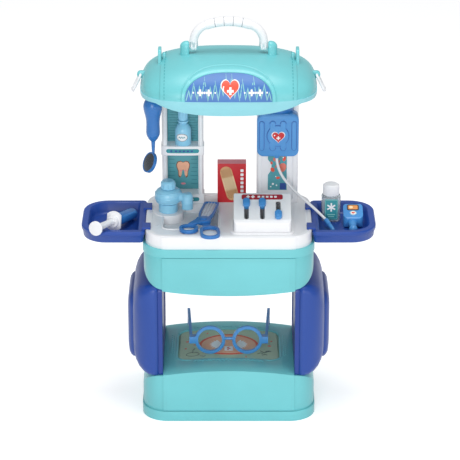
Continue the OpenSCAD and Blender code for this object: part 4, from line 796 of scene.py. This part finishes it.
def build_bosses(bm):
    """Rounded knobs beside the handle feet, flatter on the side of the handle."""
    for s in (-1, 1):
        x0, x1 = 52.3, 64.6
        prof = [(0, 3.2), (0.25, 1.5), (1.2, 0.35), (2.4, 0), (5.2, 0.1), (7.6, 0.8), (9.6, 2.0),
                (11.0, 3.6), (11.9, 5.2), (x1 - x0, 6.6)]
        rings = []
        for d, inset in prof:
            x = s * (x0 + d)
            r = 7.4 - inset
            ring = [bm.verts.new(V(x, -r - 1.2, PIVOT_Z - 21)), ]
            for i in range(21):
                a = math.radians(180 - i * 9)
                ring.append(bm.verts.new(V(x, r * math.cos(a), PIVOT_Z - 0.4 + r * math.sin(a))))
            ring.append(bm.verts.new(V(x, r + 1.2, PIVOT_Z - 21)))
            rings.append(ring)
        join_rings(bm, rings)


def fin_outline(y0, y1, z0, z1):
    pts = [(y1, z0), (y1 * 0.82, z1 - 5)]
    for i in range(7):
        a = math.radians(i * 15)
        pts.append((y1 * 0.82 - 5 + 5 * math.cos(a), z1 - 5 + 5 * math.sin(a)))
    for i in range(7):
        a = math.radians(90 + i * 15)
        pts.append((y0 * 0.82 + 5 + 5 * math.cos(a), z1 - 5 + 5 * math.sin(a)))
    pts.append((y0, z0))
    return pts


def build_fins(bm):
    # a tall fin on each side, and a small hook further in
    for x, half, low, high, thick, soft in ((91.6, 13, 22, 48, 2.2, 1.0),
                                            (85.5, 5.5, 26, 42, 1.9, 0.9)):
        for c in (-x, x):
            prism_x(bm, fin_outline(-half, half, DOME_Z + low, DOME_Z + high), c - thick,
                    c + thick, soft)


def build_ears(bm):
    for s in (-1, 1):
        cx = s * (DOME_A + 1.2)
        cz = DOME_Z + 11.4
        out = []
        for i in range(17):
            a = math.radians(90 - i * 180 / 16)
            out.append((cx + s * 4.6 * math.cos(a), cz + 4.6 * math.sin(a)))
        out += [(cx - s * 9, cz - 5.0), (cx - s * 9, cz + 5.0)]
        rings = []
        for y, ins in ((-3.2, 0.8), (-2.9, 0.3), (-2.4, 0.0), (2.4, 0.0), (2.9, 0.3), (3.2, 0.8)):
            rings.append([bm.verts.new(V(cx + (x - cx) * (1 - ins / 5), y,
                                         cz + (z - cz) * (1 - ins / 5))) for x, z in out])
        join_rings(bm, rings)


def build_collars(bm):
    for cx in (LCX, RCX):
        w, d = COL_W + 4.6, COL_D + 4.6
        cy = COL_Y + COL_D / 2
        for x0, x1, y0, y1 in ((cx - w / 2, cx + w / 2, cy - d / 2, cy - d / 2 + 2),
                               (cx - w / 2, cx - w / 2 + 2, cy - d / 2 + 2, cy + 4),
                               (cx + w / 2 - 2, cx + w / 2, cy - d / 2 + 2, cy + 4)):
            box_verts(bm, (x0, y0, DOME_Z + 0.4), (x1, y1, DOME_Z + 14))
    # bracket and peg of the hanging tool
    box_verts(bm, (-109, 8.5, 446.5), (-95, 11.5, DOME_Z + 17))
    r = bmesh.ops.create_cone(bm, cap_ends=True, segments=32, radius1=3 * MM, radius2=3 * MM,
                              depth=9.5 * MM)
    for v in r["verts"]:
        v.co = Matrix.Rotation(math.pi / 2, 3, "X") @ v.co + V(-102, 5.25, 452)


make("canopy_bosses", TURQ, "canopy", "turquoise", build_bosses, smooth=50)
make("canopy_fins", TURQ, "canopy", "turquoise", build_fins, smooth=50)
make("canopy_ears", TURQ, "canopy", "turquoise", build_ears, smooth=50)
make("canopy_collars", TURQ, "canopy", "turquoise", build_collars)
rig.replaces(dome, "canopy_dome")
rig.ride(dome, "canopy")

FRONT = dome_front(DOME_STEP)


def sign_outline(grow, n=40):
    out = []
    for i in range(n + 1):
        a = math.radians(i * 180 / n)
        out.append(((SIGN_A + grow) * spow(math.cos(a), 0.75),
                    (SIGN_H + grow) * max(0.0, math.sin(a)) ** 0.75))
    return out


sign = make("canopy_sign_skin", C_BLUE, None, "printed_card",
            lambda bm: patch(bm, [(u, max(0.3, v)) for u, v in sign_outline(-0.2)], -0.4, 0.7,
                             FRONT, step=4.0))
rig.replaces(sign, "canopy_sign")
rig.ride(sign, "canopy")


def build_frame(bm):
    mid = sign_outline(2.6, 60)
    mid = [(u, max(0.35, v)) for u, v in mid]
    ribbon(bm, mid, 2.5, -0.6, 1.55, FRONT, soft=0.9)
    edge = [(u, max(0.35, v)) for u, v in sign_outline(6.2, 60)]
    ribbon(bm, edge, 0.5, -0.4, 0.45, FRONT, soft=0.3)


make("canopy_sign_frame", TURQ, "canopy", "turquoise", build_frame)


def build_zigzag(bm):
    run = [(-55.5, 2), (-52, 14), (-49, 3.5), (-45.5, 21.5), (-41, 2.5), (-38, 19), (-35, 6),
             (-31.5, 27.6), (-27, 2), (-24, 18.5), (-21, 4), (-17.5, 24), (-13.5, 2.5), (-10, 22),
             (-7, 9), (-3.5, 30.4), (0.5, 8), (4, 30.2), (8, 6), (11, 21), (14.5, 2.5),
             (18, 26), (22, 4), (25, 17), (28, 2.5), (32.5, 28.2), (36.5, 3.5), (39.5, 18),
             (42.5, 5), (46.5, 20.5), (50, 3), (53, 12), (55.5, 2)]
    dense = []
    for a, b in zip(run, run[1:]):
        for k in range(4):
            dense.append((a[0] + (b[0] - a[0]) * k / 4, a[1] + (b[1] - a[1]) * k / 4))
    dense.append(run[-1])
    ribbon(bm, dense, 0.55, 0.5, 0.86, FRONT, soft=0.1)


make("sign_zigzag", C_ECG, "canopy", "printed_card", build_zigzag)
make("sign_heart_edge", C_WHITE, "canopy", "red_print",
     lambda bm: patch(bm, heart2(2, 15, 13.2), 0.6, 1.15, FRONT, step=3.0))
heart = make("sign_heart_skin", C_HEART, None, "red_print",
             lambda bm: patch(bm, heart2(2, 15.1, 11.9), 0.9, 1.42, FRONT, step=3.0))
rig.replaces(heart, "sign_heart")
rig.ride(heart, "canopy")


def build_sign_white(bm):
    patch(bm, plus2(2.3, 13.9, 8.6, 2.9), 1.2, 1.55, FRONT, step=3.0)
    ribbon(bm, [(-6.6, 13.5), (-7.2, 16.5), (-6.2, 19.2)], 0.8, 1.2, 1.55, FRONT, soft=0.1)
    # generic pluses and bars where a sign has its words
    for c in (-37, -26, 30, 41):
        patch(bm, plus2(c, 12.0, 7.6, 2.5), 0.7, 1.05, FRONT, step=3.0)
    for c in (-31.5, 35.5):
        patch(bm, ellipse(c, 12.0, 1.4, 1.4, 16), 0.7, 1.05, FRONT)
    for c in (-46, 50, -17.5, 21):
        patch(bm, ellipse(c, 12.0, 1.1, 1.1, 16), 0.7, 1.05, FRONT)


make("sign_pluses", C_WHITE, "canopy", "printed_card", build_sign_white)


def build_stitches(bm):
    for s in (-1, 1):
        x = s * 84.3
        surf = with_normal(lambda u, v: dome_point(u, v, DOME_STEP))
        for k in range(26):
            a = 178 - k * 6.8
            if a < 4:
                break
            section = ((-0.5, -0.3), (-0.5, 0.22), (-0.25, 0.42), (0.25, 0.42), (0.5, 0.22),
                       (0.5, -0.3))
            join_rings(bm, [[bm.verts.new(surf(x + off, a - q * 0.95, -h)) for off, h in section]
                            for q in range(5)])


make("canopy_stitches", TURQ_D, "canopy", "turquoise", build_stitches)


# ---------------------------------------------------------------- base picture and emboss

def card_print(name, mat, build):
    return make(name, mat, "stand", "printed_card", build)


def crown_top(depth):
    def point(x, y):
        return Vector((x, y, BASE_H - depth - CROWN * (x / SEAM) ** 2))
    return with_normal(point)


CARD_TOP = crown_top(PICTURE_IN - CARD)
SHELL_TOP = crown_top(0)


def build_cream_fans(bm):
    for s in (-1, 1):
        pts = []
        for i in range(18):
            a = math.radians(-78 + i * 156 / 17)
            r = 15 if i % 2 == 0 else 11
            pts.append((s * (12 + r * math.cos(a)), 6 + 1.05 * r * math.sin(a)))
        if s < 0:
            pts.reverse()
        patch(bm, pts + [(s * 9, 6)] if s > 0 else [(s * 9, 6)] + pts, 0.1, 0.4, CARD_TOP, step=6)
    patch(bm, rrect2(0, -8, 12, 14, 1.5), 0.1, 0.42, CARD_TOP, step=6)


def build_picture_lines(bm):
    ribbon(bm, ellipse(-50, -22, 9, 6, 30), 0.35, 0.0, 0.25, CARD_TOP, closed=True, soft=0.1)
    strokes = [[(-50, -16), (-50, -9), (-47, -4)], [(-40, -28), (-35, -31), (-32, -29)]]
    strokes += [[(x - 4, y - 1.5), (x, y + 1.5), (x + 4, y)] for x, y in
                ((44, -20), (50, -24), (55, -12), (47, 32), (-52, 30), (-46, 36))]
    for stroke in strokes:
        ribbon(bm, stroke, 0.35, 0.0, 0.25, CARD_TOP, soft=0.1)
    ribbon(bm, [(44, -12), (50, -17), (58, -10)], 0.5, 0.0, 0.25, CARD_TOP, soft=0.1)


def build_picture_dots(bm):
    for x, y, r in ((-58, 20, 2.2), (-60, -2, 1.6), (57, 6, 2.4), (60, 22, 1.6), (52, 14, 1.2),
                    (-48, 8, 1.4), (46, 40, 1.5), (-30, 44, 1.6), (24, -33, 1.4)):
        patch(bm, ellipse(x, y, r, r, 18), -0.1, 0.22, CARD_TOP)


card_print("base_picture_oval", C_HEART,
     lambda bm: patch(bm, ellipse(0, 6, 42, 33, 60), -0.1, 0.18, CARD_TOP, step=6))
card_print("base_picture_inner", C_SKIN,
     lambda bm: patch(bm, ellipse(0, 6, 38, 29, 60), 0.0, 0.3, CARD_TOP, step=6))
card_print("base_picture_fans", C_WHITE, build_cream_fans)
card_print("base_picture_zigzag", C_RED,
     lambda bm: ribbon(bm, [(0, -13), (-2, -10.5), (2, -8), (-2, -5.5), (1, -3)], 0.6, 0.2, 0.55,
                       CARD_TOP, soft=0.1))
card_print("base_picture_lines", BLACK, build_picture_lines)
card_print("base_picture_dots", C_CORAL, build_picture_dots)


def build_base_emboss(bm):
    # short raised dashes beside the picture and a wavy line in front of and behind it
    for s in (-1, 1):
        for col, off in ((0, 76.5), (1, 79.6)):
            for k in range(11):
                y = -22 + k * 6.2 + (3.1 if col else 0)
                ribbon(bm, [(s * off, y), (s * off, y + 3.2)], 0.55, -0.3, 0.5, SHELL_TOP)
    for y0 in (-45.5, 62.5):
        pts = []
        for k in range(33):
            pts.append((-48 + k * 3, y0 + (1.6 if k % 2 else -1.6)))
        dense = []
        for a, b in zip(pts, pts[1:]):
            dense += [a, ((a[0] + b[0]) / 2, (a[1] + b[1]) / 2)]
        dense.append(pts[-1])
        ribbon(bm, dense, 0.6, -0.3, 0.5, SHELL_TOP)
    ribbon(bm, rrect2(0, 8, 141 + 4.5, 95 + 4.5, 18), 0.9, -0.4, 0.55, SHELL_TOP, closed=True)


make("base_emboss", TURQ, "stand", "turquoise", build_base_emboss)

# ---------------------------------------------------------------- prints on the columns

CARD_Y = COL_Y + COL_D - 2.5 - 0.6
LOWER = plane((LCX, CARD_Y, DECK + LIP_H), (1, 0, 0), (0, 0, 1))
UPPER = plane((LCX, CARD_Y, DECK + SHELF_Z), (1, 0, 0), (0, 0, 1))
RIGHT = plane((RCX, COL_Y + 2 - 0.6, DECK + 18), (1, 0, 0), (0, 0, 1))


def lines_between(bm, surf, rows, spans, half=0.3):
    for v in rows:
        for a, b in spans:
            ribbon(bm, [(a, v), (b, v)], half, -0.05, 0.12, surf, soft=0.03)


def build_upper_lines(bm):
    for k in range(26):
        v = 4 + k * 3.8
        w = (19.5, 17.5, 20.0)[k % 3]
        lines_between(bm, UPPER, [v], [(-w, w)], 0.28)


def build_lower_lines(bm):
    for k, (l, r) in enumerate(((7, 9), (9, 8), (8, 10), (9, 9), (7, 8), (9, 10), (8, 9), (9, 8))):
        v = 8 + k * 6
        lines_between(bm, LOWER, [v], [(-20 + k % 2, -20 + l), (20 - r, 20 - k % 2)], 0.3)


card_print("upper_picture_lines", C_TEAL_D, build_upper_lines)
card_print("lower_picture_lines", C_TEAL_D, build_lower_lines)


def tooth_outline(cu, cv, s):
    side = [(-0.50, 0.55), (-0.62, 0.30), (-0.58, 0.0), (-0.46, -0.35), (-0.42, -0.85),
            (-0.28, -1.0), (-0.16, -0.8), (-0.10, -0.35)]
    pts = side + [(0.0, -0.22)] + [(-u, v) for u, v in reversed(side)]
    pts += [(0.25, 0.62), (0.0, 0.52), (-0.25, 0.62)]
    return [(cu + u * s, cv + v * s) for u, v in reversed(pts)]


card_print("lower_picture_edge", C_BROWN,
     lambda bm: patch(bm, tooth_outline(0, 32, 15.5), -0.05, 0.14, LOWER))
card_print("lower_picture_tooth", C_SKIN,
     lambda bm: patch(bm, tooth_outline(0, 32, 13.8), 0.0, 0.2, LOWER))


def build_lower_pink(bm):
    for x in (-3.2, 3.2):
        patch(bm, ellipse(x, 27.5, 1.6, 1.0, 16), 0.1, 0.28, LOWER)
    patch(bm, ellipse(0, 8, 3.4, 1.4, 20), -0.05, 0.2, LOWER)


card_print("lower_picture_pink", C_PINK, build_lower_pink)


def build_right_shapes(bm):
    for oval in ((4, 60, 8, 11, 30, 0.4), (6.5, 33, 5.5, 7, 30, -0.5),
                 (-4, 45, 2.0, 2.6, 24, 0.3)):
        patch(bm, ellipse(*oval), -0.05, 0.15, RIGHT)
    ribbon(bm, [(-9, 50), (-7, 55), (-3, 57), (1, 53)], 0.5, -0.05, 0.16, RIGHT, soft=0.03)


def build_right_more(bm):
    for oval in ((-6.5, 30, 2.6, 3.4, 24, 0.5), (9.5, 46, 2.2, 3.6, 24, -0.3),
                 (1, 18, 2.8, 1.8, 24, 0.2), (-8, 40, 1.6, 2.2, 24, 0.1)):
        patch(bm, ellipse(*oval), -0.05, 0.17, RIGHT)
    ribbon(bm, [(-3, 33), (-1, 37), (2, 40), (3, 44)], 0.7, -0.05, 0.18, RIGHT, soft=0.03)


def build_right_dots(bm):
    for u, v, r in ((-6, 9, 1.5), (-1, 7, 1.1), (-9, 5, 1.0), (-2, 20, 0.8), (3, 26, 0.7),
                    (-5, 62, 0.9), (8, 48, 0.9), (-9, 66, 0.8)):
        patch(bm, ellipse(u, v, r, r, 18), 0.0, 0.2, RIGHT)


card_print("right_picture_shapes", C_CORAL, build_right_shapes)
card_print("right_picture_more", C_HEART, build_right_more)
card_print("right_picture_dots", C_WHITE, build_right_dots)
card_print("right_picture_block", C_NAVY,
     lambda bm: patch(bm, rrect2(7.8, 5.5, 8.4, 9.4, 0.4), -0.05, 0.14, RIGHT))


def lip_surf(z0):
    """Front of a shelf lip over X from the column's middle and the height on the lip."""
    w = COL_W + 2

    def point(u, v):
        s = max(-0.999, min(0.999, u / (w / 2)))
        c = math.sqrt(1 - s * s)
        return Vector((LCX + u, COL_Y - 1 - LIP_BULGE * c ** 0.7, z0 + v))
    return with_normal(point)


for nm, z0 in (("upper", DECK + SHELF_Z - LIP_H), ("lower", DECK)):
    lip = lip_surf(z0)

    def build_lip(bm, lip=lip):
        patch(bm, plus2(-15.5, 6.5, 3.4, 1.2), 0.5, 0.8, lip)
        for k in range(5):
            patch(bm, rrect2(-9.0 + k * 5.4, 6.5, 3.4, 2.2, 0.5), 0.5, 0.8, lip)
    make(nm + "_shelf_marks", C_WHITE if nm == "lower" else C_NAVY, "stand", "teal_label",
         build_lip)

# ---------------------------------------------------------------- prints on the tools

BOX_X0, BOX_Y0 = 4.3 - 19.75, 55.4 - 9
BOX_F = plane((BOX_X0, BOX_Y0, DECK), (1, 0, 0), (0, 0, 1))


def strip(cu, cv, l, w, turn, n=10):
    r = w / 2
    out = []
    for q in (1, -1):
        for i in range(n + 1):
            a = math.radians(-90 + i * 180 / n)
            x = q * (l / 2 - r) + q * r * math.cos(a)
            y = q * r * math.sin(a)
            out.append((cu + x * math.cos(turn) - y * math.sin(turn),
                        cv + x * math.sin(turn) + y * math.cos(turn)))
    return out


TURN = math.radians(105)


def turned(x, y):
    return (16.3 + x * math.cos(TURN) - y * math.sin(TURN),
            28.0 + x * math.sin(TURN) + y * math.cos(TURN))


def build_plaster_holes(bm):
    for i in range(-11, 12):
        for j in (-2, -1, 0, 1, 2):
            x, y = i * 2.05, (j + (0.5 if i % 2 else 0)) * 3.0
            if abs(y) < 7.2 and abs(x) < 22.5 and not (abs(abs(x) - 9.3) < 0.9):
                cu, cv = turned(x, y)
                patch(bm, ellipse(cu, cv, 0.72, 0.72, 10), 0.1, 0.3, BOX_F)


make("plaster_print", C_TAN, "stand", "red_print",
     lambda bm: patch(bm, strip(16.3, 28.0, 51, 16.6, TURN), -0.02, 0.14, BOX_F))
make("plaster_pad", C_CREAM, "stand", "red_print",
     lambda bm: patch(bm, [turned(x, y) for x, y in ((-9.4, -8.2), (9.4, -8.2), (9.4, 8.2),
                                                     (-9.4, 8.2))], 0.05, 0.2, BOX_F))
make("plaster_holes", C_BROWN, "stand", "red_print", build_plaster_holes)


def build_box_marks(bm):
    for k in range(6):
        patch(bm, rrect2(33.8, 17 + k * 6.0, 4.2, 4.0, 0.9), -0.02, 0.14, BOX_F)


make("plaster_box_marks", C_WHITE, "stand", "red_print", build_box_marks)
make("plaster_box_top", C_PINK, "stand", "red_print",
     lambda bm: patch(bm, [(0.5, 0.5), (39, 0.5), (39, 17.5), (0.5, 17.5)], -0.02, 0.12,
                      plane((BOX_X0, BOX_Y0, DECK + 57), (1, 0, 0), (0, 1, 0))))

# wall box heart and its white edge
WB = plane((RCX + 0.5, 26 - 1.2, 348 + 30.5 - 2), (1, 0, 0), (0, 0, 1))
make("wall_box_heart_edge", C_WHITE, "stand", "red_print",
     lambda bm: patch(bm, heart2(0, 0, 9.9), -0.02, 0.5, WB))
make("wall_box_heart_mark", C_WHITE, "stand", "red_print",
     lambda bm: (patch(bm, plus2(0, -0.6, 5.4, 1.6), 0.7, 1.0, WB),
                 patch(bm, ellipse(-5.2, 3.2, 1.2, 0.8, 14, 0.8), 0.7, 1.0, WB)))

WALL_F = plane((RCX, 26, 378.5), (1, 0, 0), (0, 0, 1))


def build_wall_outlines(bm):
    # darker raised lines round the ring, the slots and the bumps: painted shade of their grooves and edges
    ribbon(bm, ellipse(0, 0, 15.0, 15.0, 56), 0.5, -0.2, 0.3, WALL_F, closed=True, soft=0.1)
    for x in (-22, 22):
        ribbon(bm, strip(x, 0, 42.0, 6.6, math.pi / 2), 0.42, -0.2, 0.3, WALL_F, closed=True,
               soft=0.1)
    for x in (-7.2, 7.2):
        for q in (1, -1):
            arc = [(x + 3.9 * math.cos(a), q * (17.6 + 3.9 * math.sin(a)))
                   for a in [math.radians(-10 + k * 20) for k in range(11)]]
            ribbon(bm, arc, 0.42, -0.2, 0.3, WALL_F, soft=0.1)


make("wall_box_outlines", MID_GROOVE_SHADE, "stand", "mid_blue", build_wall_outlines)

# console label marks
C25 = math.radians(25)
CON = plane((45.3, -66, 291), (1, 0, 0), (0, math.cos(C25), math.sin(C25)))
LAB = 46 / math.cos(C25) - 6.4


def build_console_marks(bm):
    for x in (-19, -12.5):
        patch(bm, plus2(x, LAB, 5.0, 1.7), 0.15, 0.5, CON)
    for k in range(5):
        patch(bm, rrect2(-4.5 + k * 5.6, LAB, 3.6, 3.2, 0.8), 0.15, 0.45, CON)


make("console_marks", C_WHITE, "stand", "red_print", build_console_marks)

# pill bottle label
PL = plane((140.5, 22 - 11 - 0.6, TRAY_FLOOR + 0.3 + 18), (1, 0, 0), (0, 0, 1))
make("pill_label_star", C_WHITE, "tray_right", "teal_label",
     lambda bm: patch(bm, star2(0, 3.5, 6.2), -0.02, 0.16, PL))


def build_pill_marks(bm):
    for v, w in ((-7.2, 11), (-10.2, 8.5)):
        patch(bm, rrect2(0, v, w, 1.2, 0.5), -0.02, 0.14, PL)
    ribbon(bm, rrect2(0, 0, 16.2, 27.6, 1.2), 0.3, -0.02, 0.14, PL, closed=True, soft=0.03)


make("pill_label_lines", C_ECG, "tray_right", "teal_label", build_pill_marks)

SLOPE = math.atan2(9.7, 30.4)
THERMO = plane((170, -13.6, TRAY_FLOOR + 15.3), (1, 0, 0), (0, math.cos(SLOPE), math.sin(SLOPE)))
C_DARK = card("screen_frame", (74, 62, 58))
make("screen_frame", C_DARK, "tray_right", "orange_print",
     lambda bm: ribbon(bm, rrect2(0, 23, 14.6, 10.0, 2.0), 0.9, -0.1, 0.75, THERMO, closed=True,
                       soft=0.25))
make("screen_glow", C_CREAM_P, "tray_right", "orange_print",
     lambda bm: patch(bm, ellipse(-2.6, 23.2, 2.6, 2.6, 20), 0.5, 0.72, THERMO))
make("round_sticker", C_WHITE, "tray_right", "orange_print",
     lambda bm: patch(bm, ellipse(0, 11.6, 4.6, 4.6, 32), -0.05, 0.3, THERMO))
make("round_sticker_ring", C_TEAL, "tray_right", "orange_print",
     lambda bm: ribbon(bm, ellipse(0, 11.6, 4.0, 4.0, 32), 0.35, 0.1, 0.42, THERMO, closed=True,
                       soft=0.05))
make("round_sticker_mark", C_HEART, "tray_right", "orange_print",
     lambda bm: patch(bm, heart2(0, 11.2, 2.6), 0.1, 0.45, THERMO))

TIP, END = Vector((-131, 24, TRAY_FLOOR + 7.5)), Vector((-177, -75, 284.2))
AX = (END - TIP).normalized()
AU = AX.cross(Vector((0, 0, 1))).normalized()
AV = AX.cross(AU)
if AV.z < 0:
    AV = -AV


def barrel(u, v, h):
    a = math.radians(v)
    r = 7.9 + h
    return (TIP + AX * u + (AU * math.sin(a) + AV * math.cos(a)) * r) * MM


def build_barrel_marks(bm):
    for k in range(15):
        u = 8.5 + k * 3.1
        w = 11 if k % 5 == 0 else 6
        for side in (16, -52):
            path = [(u, side - w), (u, side - w / 3), (u, side + w / 3), (u, side + w)]
            rings = []
            for uu, vv in path:
                rings.append([bm.verts.new(barrel(uu + o, vv, h))
                              for o, h in ((-0.45, -0.2), (-0.3, 0.35), (0.3, 0.35), (0.45, -0.2))])
            join_rings(bm, rings)


make("barrel_marks", MID, "tray_left", "mid_blue", build_barrel_marks)


def faucet_surf():
    def point(u, v):
        a, b = math.radians(u), math.radians(v)
        r = 9.05 + 9.45 * max(0.0, math.cos(b)) ** 0.8
        return Vector((-82.7 + r * math.cos(a), 14 + r * math.sin(a), 285.8 + 10.5
                       + 10.5 * math.sin(b)))
    return with_normal(point)


FAUCET = faucet_surf()


def build_wraps(bm):
    for v0, amp, ph in ((-34, 16, 0.4), (2, 20, 1.2), (36, 12, 2.2)):
        path = [(i * 6, v0 + amp * math.sin(math.radians(i * 6) + ph)) for i in range(60)]
        rings = []
        for u, v in path:
            rings.append([bm.verts.new(FAUCET(u, v + o, h))
                          for o, h in ((-6, -0.5), (-4.2, 0.25), (0, 0.62), (4.2, 0.25), (6, -0.5))])
        join_rings(bm, rings, closed=True)


make("faucet_wraps", LIGHT, "spout", "light_blue", build_wraps)

# ---------------------------------------------------------------- soap bottle and its label

SOAP_X, SOAP_Y, SOAP_Z, SOAP_R = -62.5, 52.8, 357.0, 11.2


def soap_surf():
    def point(u, v):
        a = u / SOAP_R
        return Vector((SOAP_X + SOAP_R * math.sin(a), SOAP_Y - SOAP_R * math.cos(a), SOAP_Z + v))
    return with_normal(point)


SOAP = soap_surf()
make("soap_label", GREY, "stand", "light_blue",
     lambda bm: patch(bm, ellipse(-1.5, 13, 8.2, 5.6, 40), -0.1, 0.22, SOAP, step=2.0))
make("soap_label_field", C_WHITE, "stand", "light_blue",
     lambda bm: patch(bm, ellipse(-1.5, 13, 7.2, 4.6, 40), 0.0, 0.32, SOAP, step=2.0))
make("soap_label_wave", C_TEAL, "stand", "light_blue",
     lambda bm: ribbon(bm, [(-6, 12.2), (-4.5, 14), (-3, 12), (-1.5, 14.2), (0, 12), (1.5, 14),
                            (3, 12.2)], 0.45, 0.2, 0.42, SOAP, soft=0.05))


def build_soap(bm):
    prof = [(10.0, 0.0), (10.8, 0.35), (11.2, 1.1), (11.2, 18.4), (11.05, 20.6),
            (10.55, 22.8), (9.7, 24.8), (8.5, 26.9), (7.2, 28.7), (6.0, 30.0), (5.3, 30.9),
            (5.05, 31.6), (5.1, 32.3), (7.2, 32.5), (7.6, 32.9), (7.6, 34.3), (7.2, 34.7),
            (5.0, 35.0), (3.9, 35.2), (3.9, 41.0)]
    n = 64
    rings = []
    for r, z in prof:
        rings.append([bm.verts.new(V(SOAP_X + r * math.sin(2 * math.pi * k / n),
                                     SOAP_Y - r * math.cos(2 * math.pi * k / n), SOAP_Z + z))
                      for k in range(n)])
    join_rings(bm, rings)


soap = make("soap_body", LIGHT, None, None, build_soap, smooth=30)
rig.replaces(soap, "soap_bottle")
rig.slot(soap, "light_blue")
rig.ride(soap, "stand")


def build_seams(bm):
    """Grey rings at the pressed seams between the five segments of the grip: painted shade of the grooves."""
    turn = math.degrees(math.asin(22.3 / 66))
    sweep = 2 * turn - 0.8
    for i in (1, 2, 3, 4):
        t0 = math.radians(90 - sweep / 2 + i * sweep / 5)
        rings = []
        for dt, r in ((-0.24, 5.9), (-0.24, 6.36), (0.24, 6.36), (0.24, 5.9)):
            t = t0 + math.radians(dt)
            ring = []
            for k in range(48):
                f = 2 * math.pi * k / 48
                rr = 90 + r * math.cos(f)
                ring.append(bm.verts.new(Vector((rr * math.cos(t), r * math.sin(f),
                                                 ARCH_Z + rr * math.sin(t))) * MM))
            rings.append(ring)
        join_rings(bm, rings, closed=True)


make("grip_seams", SEAM_SHADE_GREY, "carry_handle", None, build_seams)

# raised border around the basin
DECK_T = plane((-51.5, -7, DECK), (1, 0, 0), (0, 1, 0))
make("basin_border", WHITE, "stand", None,
     lambda bm: ribbon(bm, rrect2(0, 0, 77.0, 89.0, 10.5), 0.7, -0.25, 0.75, DECK_T, closed=True,
                       soft=0.3))

# ---------------------------------------------------------------- floor, world and light

def greater(tree, a, b):
    m = tree.nodes.new("ShaderNodeMath")
    m.operation = "MAXIMUM"
    tree.links.new(a, m.inputs[0])
    tree.links.new(b, m.inputs[1])
    return m.outputs[0]


me = bpy.data.meshes.new("floor")
bm = bmesh.new()
bmesh.ops.create_grid(bm, x_segments=1, y_segments=1, size=6.0)
bm.to_mesh(me)
bm.free()
floor = bpy.data.objects.new("floor", me)
scene.collection.objects.link(floor)
fm = bpy.data.materials.new("floor")
fm.use_nodes = True
nt = fm.node_tree
nt.nodes.clear()
out = nt.nodes.new("ShaderNodeOutputMaterial")
dif = nt.nodes.new("ShaderNodeBsdfDiffuse")
dif.inputs["Color"].default_value = (0.82, 0.83, 0.84, 1)
emi = nt.nodes.new("ShaderNodeEmission")
emi.inputs["Strength"].default_value = 0.5
add = nt.nodes.new("ShaderNodeAddShader")
lp = nt.nodes.new("ShaderNodeLightPath")
mixs = nt.nodes.new("ShaderNodeMixShader")
seen = greater(nt, lp.outputs["Is Camera Ray"], lp.outputs["Is Glossy Ray"])
seen = greater(nt, seen, lp.outputs["Is Transmission Ray"])
nt.links.new(dif.outputs[0], add.inputs[0])
nt.links.new(emi.outputs[0], add.inputs[1])
nt.links.new(seen, mixs.inputs[0])
nt.links.new(dif.outputs[0], mixs.inputs[1])
nt.links.new(add.outputs[0], mixs.inputs[2])
nt.links.new(mixs.outputs[0], out.inputs[0])
me.materials.append(fm)
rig.stage(floor)

world = bpy.data.worlds.new("world")
scene.world = world
world.use_nodes = True
wn = world.node_tree
wn.nodes.clear()
wo = wn.nodes.new("ShaderNodeOutputWorld")


def white_sky(strength):
    b = wn.nodes.new("ShaderNodeBackground")
    b.inputs["Color"].default_value = (1, 1, 1, 1)
    b.inputs["Strength"].default_value = strength
    return b.outputs[0]


wl = wn.nodes.new("ShaderNodeLightPath")
wm = wn.nodes.new("ShaderNodeMixShader")
wn.links.new(greater(wn, wl.outputs["Is Camera Ray"], wl.outputs["Is Transmission Ray"]),
             wm.inputs[0])
# softer as a light than as the background that the camera sees
wn.links.new(white_sky(0.44), wm.inputs[1])
wn.links.new(white_sky(1.0), wm.inputs[2])
wn.links.new(wm.outputs[0], wo.inputs[0])


def area(name, loc, aim, size, power):
    d = bpy.data.lights.new(name, "AREA")
    d.shape = "SQUARE"
    d.size = size
    d.energy = power
    o = bpy.data.objects.new(name, d)
    o.location = loc
    o.rotation_euler = (Vector(aim) - Vector(loc)).to_track_quat("-Z", "Y").to_euler()
    scene.collection.objects.link(o)
    return o


area("key", (-0.35, -2.5, 0.95), (0, 0, 0.24), 1.1, 27)
area("fill", (1.3, -2.0, 0.7), (0, 0, 0.24), 1.2, 8)
area("top", (0.0, -0.1, 2.2), (0, 0, 0.3), 1.0, 20)

now_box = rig.bounds()
with open("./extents.json", "w") as f:
    json.dump({"cad": [list(map(float, v)) for v in cad_box],
               "visual": [list(map(float, v)) for v in now_box]}, f)
